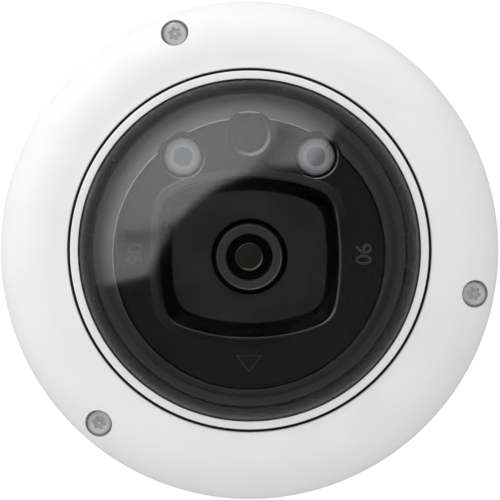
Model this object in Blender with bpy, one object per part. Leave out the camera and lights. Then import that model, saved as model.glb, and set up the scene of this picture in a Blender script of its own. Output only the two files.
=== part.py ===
"""Ceiling dome camera: a surface-mount housing, a clear bubble and a three-axis camera ball.

Frame: +Z is the dome's axis, away from the mounting face, which lies at Z = 0 and is centred on the origin.
+Y is the top of the camera's picture while the lens looks along +Z.
"""

import math

import bmesh
import bpy
from mathutils import Matrix, Vector

MM = 0.001

# ---------------------------------------------------------------- clearances
GAP = 0.3 * MM  # between two pieces that touch
SEAL_GAP = 0.1 * MM  # beside rubber
SHANK_GAP = 0.3 * MM  # a fastener's shank in its hole
SWEEP_GAP = 0.7 * MM  # round everything that turns with the ball

# ---------------------------------------------------------------- facets
RING_STEPS = 36
PIN_STEPS = 12
ROUND_STEPS = 20  # fittings, recesses and lens parts
DOME_STEPS = 8
LIMIT_STEPS = 12
CURVE_STEPS = 5

# ---------------------------------------------------------------- outer cover
SKIRT_Z = 0.8 * MM
SHOULDER_H = 18.0 * MM  # from the side wall's top up to the opening
OPENING_RAISE = 3.8 * MM  # the opening above the dome's centre
LIP_WALL = 2.0 * MM
COVER_WALL = 2.7 * MM
SHOULDER_POWER = 2.3
SHOULDER_FLAT = 2.0 * MM

# ---------------------------------------------------------------- dome bubble and its clamp
DOME_WALL = 2.2 * MM
DOME_RAISE = 7.2 * MM  # the dome's centre above the ball's
FLANGE_REACH = 0.8 * MM  # past the opening
FLANGE_T = 1.8 * MM
TRIM_WALL = 1.5 * MM
TRIM_T = 1.2 * MM
TRIM_RISE = 1.9 * MM
TRIM_SLOT = 0.8 * MM  # the slot between trim ring and cover that the gasket's lip fills
GASKET_T = 0.7 * MM
GASKET_LIP = 1.3 * MM
CLAMP_T = 1.5 * MM
CLAMP_BOSS_R = 2.3 * MM
CLAMP_BOSS_ROOM = 0.4 * MM  # between the bosses and the dome's flange
CLAMP_SHANK_R = 0.85 * MM
CLAMP_SHANK_L = 5.2 * MM
CLAMP_HEAD_R = 1.8 * MM
CLAMP_HEAD_H = 1.5 * MM
CLAMP_ANGLES = (49.0, 169.0, 289.0)

# ---------------------------------------------------------------- seal between base and cover
SEAL_WALL = 2.8 * MM
BASE_WALL_RISE = 1.1 * MM  # above the conduit's boss
BODY_SEAL_T = 2.0 * MM

# ---------------------------------------------------------------- cover screws
COVER_SCREW_ANGLES = (109.0, 229.0, 349.0)
COVER_HEAD_R = 2.85 * MM
COVER_HEAD_H = 2.2 * MM
COVER_HEAD_SINK = 6.6 * MM  # below the opening
COVER_SHANK_R = 1.5 * MM
COVER_SHANK_END_Z = 7.5 * MM
RECESS_WALL = 1.25 * MM
SCREW_BOSS_WALL = 1.1 * MM
BASE_WEB_T = 2.4 * MM
DRIVE_R = 1.45 * MM
DRIVE_LOBE = 0.22 * MM
DRIVE_DEPTH = 1.3 * MM
DRIVE_PIN_R = 0.45 * MM

# ---------------------------------------------------------------- base
FLOOR_T = 2.5 * MM
MOUNT_HOLE_R = 2.2 * MM
MOUNT_HOLE_ANGLES = (49.0, 169.0, 289.0)
CONDUIT_R = 6.0 * MM
CONDUIT_WALL = 2.4 * MM
CONDUIT_SINK = 0.4 * MM  # how far its boss stands in the floor
CONDUIT_INSET = 4.4 * MM  # its end, from the cover's side
PLUG_FLANGE = 1.4 * MM  # how far it reaches past the bore
PLUG_FLANGE_T = 2.3 * MM
PLUG_SHANK_L = 7.6 * MM
PLUG_SEAL_T = 0.8 * MM
COIN_SLOT = (8.0 * MM, 1.6 * MM, 1.1 * MM)  # length, width, depth
NOTCH_GAP = 1.2 * MM
CABLE_HOLE_R = 6.5 * MM
CABLE_HOLE_Y = 29.0 * MM
GROMMET_FLANGE = 1.8 * MM  # how far each flange reaches past the hole
GROMMET_FLANGE_T = 1.2 * MM
GROMMET_SINK = 0.4 * MM  # the outer flange lies below the mounting face

# ---------------------------------------------------------------- main board and chassis
BOARD_Z = 10.0 * MM
BOARD_T = 1.6 * MM
BOARD_ROOM = 2.5 * MM  # between the board and the base's wall
BOARD_FLAT = 8.6 * MM  # how far the flat cuts into the board
POST_INSET = 3.0 * MM  # from the turntable's lip to the chassis screws
POST_ANGLES = (90.0, 210.0, 330.0)
POST_BOSS_R = 2.8 * MM
STANDOFF_L = 2.4 * MM
CHASSIS_T = 1.8 * MM
CHASSIS_RIM = 0.8 * MM  # past the turntable's lip
CHASSIS_LOBE_R = 3.2 * MM
CHASSIS_SHANK_R = 1.2 * MM
CHASSIS_HEAD_R = 2.3 * MM
CHASSIS_HEAD_H = 1.4 * MM
CHASSIS_SHANK_END_Z = 5.0 * MM

# ---------------------------------------------------------------- pan turntable and yoke
TURN_LIP_T = 1.1 * MM
TURN_T = 2.5 * MM
TURN_LIP_W = 1.9 * MM
CLIP_T = 1.0 * MM
CLIP_ARC = 15.0
FLOOR_ROOM = 0.2 * MM  # between the floor and all that turns
ARM_T = 1.4 * MM
ARM_WIDTH = 17.0 * MM
ARM_TOP_R = 4.2 * MM
ARM_FOOT_T = 1.4 * MM
YOKE_SCREW_INSET = 1.8 * MM  # from the arm's inner face
YOKE_SHANK_R = 0.9 * MM
YOKE_HEAD_R = 1.6 * MM
YOKE_HEAD_H = 1.1 * MM

# ---------------------------------------------------------------- tilt ring
TILT_RING_W = 4.9 * MM
TILT_HALF_H = 3.5 * MM
TILT_BOSS_R = 3.6 * MM
TILT_SHANK_R = 1.6 * MM
TILT_HEAD_R = 3.0 * MM
TILT_HEAD_T = 1.6 * MM
TILT_SHANK_L = 5.9 * MM
TILT_AT_REST = 3.0  # degrees that the lens leans towards -Y

# ---------------------------------------------------------------- camera ball (heights from the pivot along the lens)
BALL_R = 37.6 * MM
BALL_WALL = 1.8 * MM
RIM_H = 5.0 * MM
FACE_H = 19.0 * MM
FACE_SINK = 1.14 * MM  # below the ball's rim
FACE_T = 1.3 * MM
FACE_SEAM = 0.35 * MM
LEDGE_W = 3.8 * MM
LEDGE_T = 1.3 * MM
LED_INSET = 3.7 * MM  # from the face's edge
LED_ANGLE = 34.26  # degrees from +Y, to either side
LED_HOLE_R = 4.95 * MM
LOBE_WALL = 0.65 * MM
LOBE_REACH = 0.6 * MM  # how far the lobes stand out of the ball
LOBE_DEPTH = 4.4 * MM
DIMPLE_INSET = 3.4 * MM  # from the face's edge
DIMPLE_R = 4.75 * MM
DIMPLE_DEPTH = 0.6 * MM
WELL_LIP = (23.5 * MM, 20.7 * MM)
WELL_MOUTH = (21.0 * MM, 18.7 * MM)
WELL_FLOOR = (18.4 * MM, 15.8 * MM)
WELL_SIDE_ARC = 3.3  # the side's radius as a multiple of the half width
WELL_TOP_ARC = 2.6  # the same for the top and the half height
WELL_CORNER = 16.0  # higher is sharper
WELL_STEPS = 32
WELL_RISE = 0.5 * MM
WELL_DEPTH = 4.6 * MM
WELL_WALL = 1.2 * MM
LENS_HOLE_R = 9.0 * MM
LENS_Y = -0.8 * MM  # the lens and its well stand a little below the ball's axis

# ---------------------------------------------------------------- swivel, sensor and lens (heights from the pivot)
SWIVEL_WALL = 2.6 * MM
SWIVEL_FLANGE_T = 1.4 * MM
SWIVEL_FLOOR_T = 1.2 * MM
SWIVEL_PLAY = 0.4 * MM
RETAIN_W = 3.2 * MM
RETAIN_T = 1.1 * MM
RETAIN_SPLIT = 4.0 * MM
SENSOR_BOARD = (32.0 * MM, 25.0 * MM, 1.2 * MM)
SENSOR_CHIP = (8.0 * MM, 6.0 * MM, 1.0 * MM)
HOLDER_SIDE = 17.0 * MM
HOLDER_BASE_H = 4.2 * MM
HOLDER_TUBE_R = 7.9 * MM
HOLDER_TOP_H = 6.0 * MM
LENS_THREAD_R = 5.8 * MM
LENS_BODY_R = 7.85 * MM
LENS_SINK = 1.1 * MM  # its front below the face
LENS_SHOULDER_ROOM = 0.5 * MM  # above the lock ring
LENS_REAR_H = 1.0 * MM
LENS_GLASS_R = 5.4 * MM
LENS_GLASS_EDGE = 0.5 * MM
LENS_GLASS_CROWN = 1.0 * MM
LENS_SEAT_DEPTH = 2.4 * MM
IRIS_R = 2.7 * MM
LOCK_RING_R = 8.6 * MM
LOCK_RING_T = 2.0 * MM
IR_BOARD_SINK = 7.8 * MM  # below the face
IR_BOARD_T = 1.2 * MM
IR_BOARD_Y = 13.0 * MM
IR_LENS_R = 4.15 * MM
IR_LENS_SINK = 0.7 * MM  # its crown below the face
IR_FLANGE_R = 4.65 * MM
LED_SIDE = 3.0 * MM
LED_T = 1.0 * MM

# ---------------------------------------------------------------- reset switch
RESET_INSET = 2.4 * MM  # from the board's edge
RESET_Y = -3.6 * MM
RESET_SIDE = 4.4 * MM
RESET_CASE_H = 2.4 * MM
RESET_BUTTON_R = 1.0 * MM
RESET_BUTTON_RISE = 0.9 * MM
RESET_TRAVEL = 0.5 * MM

# ---------------------------------------------------------------- sizes that follow, outwards from the ball
SWEEP_R = BALL_R + SWEEP_GAP
DOME_R = SWEEP_R + GAP + DOME_WALL
TRIM_R = DOME_R + GAP + TRIM_WALL
OPENING_R = TRIM_R + TRIM_SLOT
FLANGE_R = OPENING_R + FLANGE_REACH
CLAMP_SCREW_R = FLANGE_R + CLAMP_BOSS_ROOM + CLAMP_BOSS_R
SEAL_INNER_R = CLAMP_SCREW_R + CLAMP_BOSS_R - SEAL_GAP
SEAL_OUTER_R = SEAL_INNER_R + SEAL_WALL
SEAL_R = (SEAL_INNER_R + SEAL_OUTER_R) / 2
BASE_BOSS_R = COVER_SHANK_R + SHANK_GAP + SCREW_BOSS_WALL
COVER_SCREW_R = SEAL_OUTER_R + GAP + BASE_BOSS_R  # the circle they stand on
COVER_INNER_R = COVER_SCREW_R + BASE_BOSS_R + GAP
BODY_R = COVER_INNER_R + COVER_WALL
BASE_R = COVER_INNER_R - GAP
COVER_BOSS_R = COVER_HEAD_R + GAP + RECESS_WALL
CONDUIT_BOSS_R = CONDUIT_R + CONDUIT_WALL
CONDUIT_END = BODY_R - CONDUIT_INSET
PLUG_FLANGE_R = CONDUIT_R + PLUG_FLANGE

# ---------------------------------------------------------------- heights that follow, up from the floor
PIVOT_Z = FLOOR_T + FLOOR_ROOM + SWEEP_R
DOME_Z = PIVOT_Z + DOME_RAISE
OPENING_Z = DOME_Z + OPENING_RAISE
SHOULDER_Z = OPENING_Z - SHOULDER_H
LIP_UNDER_Z = OPENING_Z - LIP_WALL
GASKET_TOP_Z = LIP_UNDER_Z - SEAL_GAP
TRIM_FLANGE_TOP_Z = GASKET_TOP_Z - GASKET_T - SEAL_GAP
DOME_FLANGE_TOP_Z = TRIM_FLANGE_TOP_Z - TRIM_T - GAP
DOME_BOTTOM_Z = DOME_FLANGE_TOP_Z - FLANGE_T
CLAMP_TOP_Z = DOME_BOTTOM_Z - GAP
COVER_HEAD_TOP_Z = OPENING_Z - COVER_HEAD_SINK
CONDUIT_Z = FLOOR_T - CONDUIT_SINK + CONDUIT_BOSS_R
BASE_WALL_Z = CONDUIT_Z + CONDUIT_BOSS_R + BASE_WALL_RISE
SEAL_TOP_Z = BASE_WALL_Z + GAP + BODY_SEAL_T
COVER_RIB_Z = SEAL_TOP_Z + GAP
BOARD_TOP_Z = BOARD_Z + BOARD_T
CHASSIS_Z = BOARD_TOP_Z + GAP + STANDOFF_L + GAP
CHASSIS_TOP_Z = CHASSIS_Z + CHASSIS_T
TURN_Z = CHASSIS_TOP_Z + GAP
TURN_TOP_Z = TURN_Z + TURN_T
CLIP_UNDER_Z = TURN_Z + TURN_LIP_T + GAP
CLIP_TOP_Z = CLIP_UNDER_Z + CLIP_T
FOOT_Z = TURN_TOP_Z + GAP
FOOT_TOP_Z = FOOT_Z + ARM_FOOT_T

# ---------------------------------------------------------------- boards, turntable and yoke that follow
ARM_X = BALL_R + GAP  # inner face of the arm
YOKE_SCREW_X = ARM_X - YOKE_SCREW_INSET
TURN_R = SWEEP_R
TURN_LIP_R = TURN_R + TURN_LIP_W
CHASSIS_R = TURN_LIP_R + CHASSIS_RIM
POST_R = TURN_LIP_R + GAP + POST_INSET  # the circle that the chassis screws stand on
CLIP_OUTER_R = POST_R + CHASSIS_LOBE_R - GAP
BOARD_R = SEAL_INNER_R - BOARD_ROOM
BOARD_FLAT_Y = BOARD_FLAT - BOARD_R
RESET_AT = (RESET_INSET - BOARD_R, RESET_Y)
CLAMP_BORE_R = ARM_X + ARM_T + TILT_HEAD_T + SWEEP_GAP

# ---------------------------------------------------------------- the ball's inside, in heights from the pivot
FACE_R = math.sqrt(BALL_R**2 - (FACE_H + FACE_SINK) ** 2) - FACE_SEAM
FACE_UNDER_H = FACE_H - FACE_T
LED_X = (FACE_R - LED_INSET) * math.sin(math.radians(LED_ANGLE))
LED_Y = (FACE_R - LED_INSET) * math.cos(math.radians(LED_ANGLE))
DIMPLE_Y = FACE_R - DIMPLE_INSET
LOBE_R = LED_HOLE_R + LOBE_WALL
WELL_FLOOR_H = FACE_H - WELL_DEPTH
TILT_RING_R = BALL_R - BALL_WALL - 2 * GAP
TILT_BORE_R = TILT_RING_R - TILT_RING_W
SWIVEL_TUBE_R = TILT_BORE_R - SWIVEL_PLAY
SWIVEL_BORE_R = SWIVEL_TUBE_R - SWIVEL_WALL
SWIVEL_FLANGE_R = TILT_RING_R - GAP
SWIVEL_FLANGE_H = TILT_HALF_H + SWIVEL_PLAY
SWIVEL_FLOOR_H = -TILT_HALF_H - SWIVEL_PLAY - RETAIN_T
SENSOR_BOARD_H = SWIVEL_FLOOR_H + SWIVEL_FLOOR_T + GAP
SENSOR_TOP_H = SENSOR_BOARD_H + SENSOR_BOARD[2]
LENS_FRONT_H = FACE_H - LENS_SINK
LENS_SHOULDER_H = HOLDER_TOP_H + GAP + LOCK_RING_T + LENS_SHOULDER_ROOM
IR_BOARD_H = FACE_H - IR_BOARD_SINK
IR_BOARD_R = FACE_R
LED_H = IR_BOARD_H + IR_BOARD_T + GAP


# ---------------------------------------------------------------- finishes
def finish(name, colour, roughness, metallic=0.0, alpha=1.0):
    material = bpy.data.materials.new(name)
    material.use_nodes = True
    shader = material.node_tree.nodes["Principled BSDF"]
    shader.inputs["Base Color"].default_value = (*colour, 1.0)
    shader.inputs["Roughness"].default_value = roughness
    shader.inputs["Metallic"].default_value = metallic
    shader.inputs["Alpha"].default_value = alpha
    return material


def make_finishes():
    return {
        "white_paint": finish("white_paint", (0.86, 0.86, 0.86), 0.45),
        "clear": finish("clear", (0.9, 0.92, 0.92), 0.03, alpha=0.25),
        "black_rubber": finish("black_rubber", (0.02, 0.02, 0.02), 0.7),
        "black_shell": finish("black_shell", (0.045, 0.045, 0.05), 0.4),
        "black_texture": finish("black_texture", (0.03, 0.03, 0.034), 0.6),
        "black_metal": finish("black_metal", (0.03, 0.03, 0.03), 0.35, 0.6),
        "cast": finish("cast", (0.62, 0.63, 0.64), 0.45, 0.9),
        "steel": finish("steel", (0.6, 0.6, 0.6), 0.3, 1.0),
        "brass": finish("brass", (0.75, 0.6, 0.3), 0.35, 1.0),
        "board": finish("board", (0.02, 0.12, 0.05), 0.45),
        "glass": finish("glass", (0.05, 0.05, 0.07), 0.02, alpha=0.5),
        "ir_clear": finish("ir_clear", (0.7, 0.7, 0.72), 0.1, alpha=0.6),
        "chip": finish("chip", (0.03, 0.03, 0.03), 0.5),
        "led": finish("led", (0.85, 0.8, 0.5), 0.3),
    }


# ---------------------------------------------------------------- modelling tools
def to_object(bm, name, material=None):
    bmesh.ops.remove_doubles(bm, verts=bm.verts, dist=1e-7)
    bmesh.ops.dissolve_degenerate(bm, edges=bm.edges, dist=1e-8)
    bmesh.ops.recalc_face_normals(bm, faces=bm.faces)
    mesh = bpy.data.meshes.new(name)
    bm.to_mesh(mesh)
    bm.free()
    mesh.shade_smooth()
    mesh.set_sharp_from_angle(angle=math.radians(30))
    obj = bpy.data.objects.new(name, mesh)
    if material:
        mesh.materials.append(material)
    bpy.context.scene.collection.objects.link(obj)
    return obj


def arc(centre_r, centre_z, radius, start, end, steps=CURVE_STEPS):
    """Points of an arc in the (r, z) half plane; angles in degrees from +r towards +z."""
    turn = [math.radians(start + (end - start) * i / steps) for i in range(steps + 1)]
    return [(centre_r + radius * math.cos(a), centre_z + radius * math.sin(a)) for a in turn]


def turned(name, profile, material=None, steps=RING_STEPS, sweep=360.0, start=0.0):
    """A profile of (r, z) points turned about Z. It closes on itself unless both ends lie on the axis."""
    bm = bmesh.new()
    turn = math.radians(start)
    points = [bm.verts.new((r * math.cos(turn), r * math.sin(turn), z)) for r, z in profile]
    edges = [bm.edges.new(pair) for pair in zip(points, points[1:])]
    on_axis = profile[0][0] == 0 and profile[-1][0] == 0
    if not on_axis:
        edges.append(bm.edges.new((points[-1], points[0])))
    whole = sweep >= 360.0
    first = None if whole else bm.faces.new(points)
    made = bmesh.ops.spin(
        bm, geom=points + edges, cent=(0, 0, 0), axis=(0, 0, 1),
        angle=math.radians(sweep), steps=steps, use_duplicate=False,
    )
    if first is not None:
        bm.faces.new([v for v in made["geom_last"] if isinstance(v, bmesh.types.BMVert)])
    return to_object(bm, name, material)


def prism(name, outline, low, high, material=None):
    """An outline of (x, y) points, drawn up from low to high."""
    bm = bmesh.new()
    base = bm.faces.new([bm.verts.new((x, y, low)) for x, y in outline])
    grown = bmesh.ops.extrude_face_region(bm, geom=[base])
    top = [v for v in grown["geom"] if isinstance(v, bmesh.types.BMVert)]
    bmesh.ops.translate(bm, verts=top, vec=(0, 0, high - low))
    return to_object(bm, name, material)


def rectangle(width, depth, at=(0.0, 0.0)):
    x, y = at
    return [
        (x - width / 2, y - depth / 2), (x + width / 2, y - depth / 2),
        (x + width / 2, y + depth / 2), (x - width / 2, y + depth / 2),
    ]


def circle(radius, at=(0.0, 0.0), steps=PIN_STEPS):
    turn = [2 * math.pi * i / steps for i in range(steps)]
    return [(at[0] + radius * math.cos(a), at[1] + radius * math.sin(a)) for a in turn]


def arc_reach(along, across, half, radius):
    """How far a ray from the centre runs to the arc that crosses the first axis at half."""
    centre = half - radius
    return centre * along + math.sqrt(radius**2 - (centre * across) ** 2)


def barrel(half_x, half_y, steps=WELL_STEPS):
    """A barrel-sided rectangle: four arcs, blended at the corners."""
    points = []
    for i in range(steps):
        c = math.cos(2 * math.pi * i / steps)
        s = math.sin(2 * math.pi * i / steps)
        to_side = arc_reach(abs(c), abs(s), half_x, WELL_SIDE_ARC * half_x)
        to_top = arc_reach(abs(s), abs(c), half_y, WELL_TOP_ARC * half_y)
        reach = (to_side**-WELL_CORNER + to_top**-WELL_CORNER) ** (-1 / WELL_CORNER)
        points.append((c * reach, s * reach))
    return points


def on_circle(radius, angles):
    return [(radius * math.cos(math.radians(a)), radius * math.sin(math.radians(a))) for a in angles]


def pins(name, places, radius, low, high, steps=PIN_STEPS):
    """Upright cylinders in one mesh, as a tool for a Boolean."""
    bm = bmesh.new()
    for x, y in places:
        shift = Matrix.Translation((x, y, (low + high) / 2))
        bmesh.ops.create_cone(
            bm, cap_ends=True, segments=steps, radius1=radius, radius2=radius,
            depth=high - low, matrix=shift,
        )
    return to_object(bm, name)


def ribs(name, angles, width, inner_r, outer_r, low, high):
    """Radial webs in one mesh, as a tool for a Boolean."""
    bm = bmesh.new()
    for angle in angles:
        turn = Matrix.Rotation(math.radians(angle), 4, "Z")
        middle = Matrix.Translation(((inner_r + outer_r) / 2, 0, (low + high) / 2))
        size = Matrix.Diagonal((outer_r - inner_r, width, high - low, 1))
        bmesh.ops.create_cube(bm, size=1.0, matrix=turn @ middle @ size)
    return to_object(bm, name)


def lay_along(obj, direction, at):
    """Turns an object that was made along Z so that it points along direction, from at."""
    obj.rotation_mode = "QUATERNION"
    obj.rotation_quaternion = Vector((0, 0, 1)).rotation_difference(Vector(direction))
    obj.location = at
    return obj


def join_or_cut(obj, tool, operation="DIFFERENCE"):
    tool.hide_render = True
    tool.display_type = "WIRE"
    modifier = obj.modifiers.new(tool.name, "BOOLEAN")
    modifier.operation = operation
    modifier.object = tool
    return obj


def axis_empty(name, parent, at, lean=0.0):
    empty = bpy.data.objects.new(name, None)
    bpy.context.scene.collection.objects.link(empty)
    empty.parent = parent
    empty.location = at
    empty.rotation_euler.x = math.radians(lean)
    return empty


def hang(parent, *objects):
    """Parents each piece, and the tools of its Booleans with it."""
    for obj in objects:
        obj.parent = parent
        hang(parent, *[modifier.object for modifier in obj.modifiers if modifier.type == "BOOLEAN"])


def sweep_radius(z):
    """The radius that stays clear of the ball as it tilts and pans, at height z."""
    drop = PIVOT_Z - z
    return math.sqrt(max(SWEEP_R**2 - drop**2, 0.0))


def screw(name, head_r, head_h, shank_r, shank_l, material):
    """A pan-head screw standing on Z = 0 at the head's underside, its shank pointing down."""
    crown = 0.75 * head_h
    profile = [(0, -shank_l), (shank_r, -shank_l), (shank_r, 0), (head_r, 0), (head_r, crown),
               (0.8 * head_r, head_h), (0, head_h)]
    return turned(name, profile, material, steps=PIN_STEPS)


# ---------------------------------------------------------------- base and what is fixed to it
def make_base(mat):
    wall_in, wall_out = SEAL_INNER_R, SEAL_OUTER_R
    cup = [(0, 0), (BASE_R, 0), (BASE_R, FLOOR_T), (wall_out, FLOOR_T), (wall_out, BASE_WALL_Z),
           (wall_in, BASE_WALL_Z), (wall_in, FLOOR_T), (0, FLOOR_T)]
    base = turned("base_housing", cup, mat["cast"])
    into_floor = FLOOR_T / 2
    screws = on_circle(COVER_SCREW_R, COVER_SCREW_ANGLES)
    posts = on_circle(POST_R, POST_ANGLES)
    hole = COVER_SHANK_R + SHANK_GAP
    post_hole = CHASSIS_SHANK_R + SHANK_GAP
    join_or_cut(base, pins("base_screw_bosses", screws, BASE_BOSS_R, into_floor, BASE_WALL_Z), "UNION")
    webs = ribs("base_webs", COVER_SCREW_ANGLES, BASE_WEB_T, SEAL_R, COVER_SCREW_R, into_floor, BASE_WALL_Z - MM)
    join_or_cut(base, webs, "UNION")
    join_or_cut(base, pins("base_posts", posts, POST_BOSS_R, into_floor, BOARD_Z - GAP), "UNION")
    boss_l = CONDUIT_END - SEAL_R
    boss_profile = [(0, 0), (CONDUIT_BOSS_R, 0), (CONDUIT_BOSS_R, boss_l), (0, boss_l)]
    boss = turned("conduit_boss", boss_profile, steps=ROUND_STEPS)
    lay_along(boss, (0, -1, 0), (0, -SEAL_R, CONDUIT_Z))
    join_or_cut(base, boss, "UNION")
    reach = CONDUIT_END - SEAL_INNER_R + 6 * MM
    bore = turned("conduit_bore", [(0, 0), (CONDUIT_R, 0), (CONDUIT_R, reach), (0, reach)], steps=ROUND_STEPS)
    lay_along(bore, (0, -1, 0), (0, -(SEAL_INNER_R - 3 * MM), CONDUIT_Z))
    join_or_cut(base, bore)
    join_or_cut(base, pins("base_screw_holes", screws, hole, COVER_SHANK_END_Z - GAP, BASE_WALL_Z + MM))
    join_or_cut(base, pins("base_post_holes", posts, post_hole, CHASSIS_SHANK_END_Z - GAP, BOARD_Z + MM))
    mounts = on_circle(COVER_SCREW_R, MOUNT_HOLE_ANGLES)
    join_or_cut(base, pins("wall_screw_holes", mounts, MOUNT_HOLE_R, -MM, FLOOR_T + MM))
    cable = [(0.0, CABLE_HOLE_Y)]
    join_or_cut(base, pins("cable_hole", cable, CABLE_HOLE_R, -MM, FLOOR_T + MM, steps=ROUND_STEPS))
    recess = GROMMET_SINK + GROMMET_FLANGE_T / 2 + SEAL_GAP
    seat_r = CABLE_HOLE_R + GROMMET_FLANGE + SEAL_GAP
    join_or_cut(base, pins("cable_seat", cable, seat_r, -MM, recess, steps=ROUND_STEPS))
    return base


def make_grommet(mat):
    """Cable grommet with a closed membrane, which the installer pierces for the network lead."""
    low = GROMMET_SINK
    groove_low = GROMMET_SINK + GROMMET_FLANGE_T / 2
    groove_high = FLOOR_T + SEAL_GAP
    outer = CABLE_HOLE_R + GROMMET_FLANGE
    neck = CABLE_HOLE_R - SEAL_GAP
    membrane = 0.35 * CABLE_HOLE_R
    profile = [(0, low + 0.6 * MM), (membrane, low + 0.6 * MM), (neck - MM, low), (outer, low),
               (outer, groove_low), (neck, groove_low), (neck, groove_high), (outer, groove_high),
               (outer - 0.6 * MM, groove_high + GROMMET_FLANGE_T), (membrane + MM, groove_high + GROMMET_FLANGE_T),
               (membrane, low + 1.6 * MM), (0, low + 1.6 * MM)]
    grommet = turned("cable_grommet", profile, mat["black_rubber"], steps=ROUND_STEPS)
    grommet.location = (0, CABLE_HOLE_Y, 0)
    return grommet


def make_conduit_plug(mat):
    seat = CONDUIT_END + SEAL_GAP
    washer_in = CONDUIT_R + SEAL_GAP
    washer = turned("plug_seal", [(washer_in, 0), (PLUG_FLANGE_R, 0), (PLUG_FLANGE_R, PLUG_SEAL_T),
                                  (washer_in, PLUG_SEAL_T)], mat["black_rubber"], steps=ROUND_STEPS)
    lay_along(washer, (0, -1, 0), (0, -seat, CONDUIT_Z))
    flange = seat + PLUG_SEAL_T + SEAL_GAP
    shank_r = CONDUIT_R - GAP
    plug = turned("conduit_plug", [(0, -PLUG_SHANK_L), (shank_r, -PLUG_SHANK_L), (shank_r, 0), (PLUG_FLANGE_R, 0),
                                   (PLUG_FLANGE_R, PLUG_FLANGE_T - 0.4 * MM),
                                   (PLUG_FLANGE_R - 0.4 * MM, PLUG_FLANGE_T), (0, PLUG_FLANGE_T)],
                  mat["white_paint"], steps=ROUND_STEPS)
    lay_along(plug, (0, -1, 0), (0, -flange, CONDUIT_Z))
    length, width, depth = COIN_SLOT
    slot = prism("coin_slot", rectangle(length, width), -depth, MM)
    lay_along(slot, (0, -1, 0), (0, -(flange + PLUG_FLANGE_T), CONDUIT_Z))
    join_or_cut(plug, slot)
    return [plug, washer]


def make_body_gasket(mat):
    low = BASE_WALL_Z + GAP
    inset = 0.4 * MM
    ring = [(SEAL_INNER_R + inset, low), (SEAL_OUTER_R - inset, low), (SEAL_OUTER_R - inset, SEAL_TOP_Z),
            (SEAL_INNER_R + inset, SEAL_TOP_Z)]
    return turned("body_gasket", ring, mat["black_rubber"])


def make_main_board(mat):
    hole = sweep_radius(BOARD_TOP_Z) + GAP
    board = turned("main_board", [(hole, BOARD_Z), (BOARD_R, BOARD_Z), (BOARD_R, BOARD_TOP_Z), (hole, BOARD_TOP_Z)],
                   mat["board"])
    flat = prism("board_flat", rectangle(4 * BOARD_R, BOARD_R, (0, BOARD_FLAT_Y - BOARD_R / 2)),
                 BOARD_Z - MM, BOARD_TOP_Z + MM)
    join_or_cut(board, flat)
    posts = on_circle(POST_R, POST_ANGLES)
    join_or_cut(board, pins("board_post_holes", posts, CHASSIS_SHANK_R + SHANK_GAP, BOARD_Z - MM, BOARD_TOP_Z + MM))
    return board


def make_board_parts(mat):
    top = BOARD_TOP_Z + GAP
    under = BOARD_Z - GAP
    chip_t = 1.4 * MM
    inwards = BOARD_R - 12.6 * MM
    chip = prism("processor_chip", rectangle(9 * MM, 9 * MM, (0, inwards + MM)), top, top + chip_t, mat["chip"])
    chip.rotation_euler.z = math.radians(45)
    transformer = prism("network_transformer", rectangle(8 * MM, 12 * MM, (inwards - MM, 0)), under - 5 * MM, under,
                        mat["chip"])
    connector = prism("board_connector", rectangle(3.4 * MM, 11 * MM, (BOARD_R - 2.5 * MM, 0)), top, top + 5 * MM,
                      mat["led"])
    connector.rotation_euler.z = math.radians(160)
    can = turned("capacitor", [(0, 0), (3 * MM, 0), (3 * MM, 5.6 * MM), (0, 5.6 * MM)], mat["steel"], steps=PIN_STEPS)
    can.location = (-inwards, 0, under - 5.6 * MM)
    return [chip, transformer, connector, can]


def make_reset_switch(mat):
    low = BOARD_TOP_Z + GAP
    case = prism("reset_switch", rectangle(RESET_SIDE, RESET_SIDE, RESET_AT), low, low + RESET_CASE_H, mat["steel"])
    well_floor = low + 0.5 * MM
    well = pins("switch_well", [RESET_AT], RESET_BUTTON_R + GAP, well_floor, low + RESET_CASE_H + MM)
    join_or_cut(case, well)
    button_low = well_floor + GAP + RESET_TRAVEL
    button_high = low + RESET_CASE_H + RESET_BUTTON_RISE
    button = turned("reset_button", [(0, 0), (RESET_BUTTON_R, 0), (RESET_BUTTON_R, button_high - button_low),
                                     (0, button_high - button_low)], mat["chip"], steps=PIN_STEPS)
    return case, button, button_low


def make_standoffs(mat):
    bore = CHASSIS_SHANK_R + SHANK_GAP
    made = []
    for number, (x, y) in enumerate(on_circle(POST_R, POST_ANGLES), 1):
        tube = turned(f"board_standoff_{number}", [(bore, 0), (POST_BOSS_R, 0), (POST_BOSS_R, STANDOFF_L),
                                                   (bore, STANDOFF_L)], mat["brass"], steps=PIN_STEPS)
        tube.location = (x, y, BOARD_TOP_Z + GAP)
        made.append(tube)
    return made


def make_chassis(mat):
    inner = sweep_radius(CHASSIS_TOP_Z) + GAP
    ring = turned("pan_base", [(inner, CHASSIS_Z), (CHASSIS_R, CHASSIS_Z), (CHASSIS_R, CHASSIS_TOP_Z),
                               (inner, CHASSIS_TOP_Z)], mat["black_metal"])
    posts = on_circle(POST_R, POST_ANGLES)
    shave = 0.01 * MM
    join_or_cut(ring, pins("chassis_lobes", posts, CHASSIS_LOBE_R, CHASSIS_Z + shave, CHASSIS_TOP_Z - shave), "UNION")
    join_or_cut(ring, pins("chassis_holes", posts, CHASSIS_SHANK_R + SHANK_GAP, CHASSIS_Z - MM, CHASSIS_TOP_Z + MM))
    return ring


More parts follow.
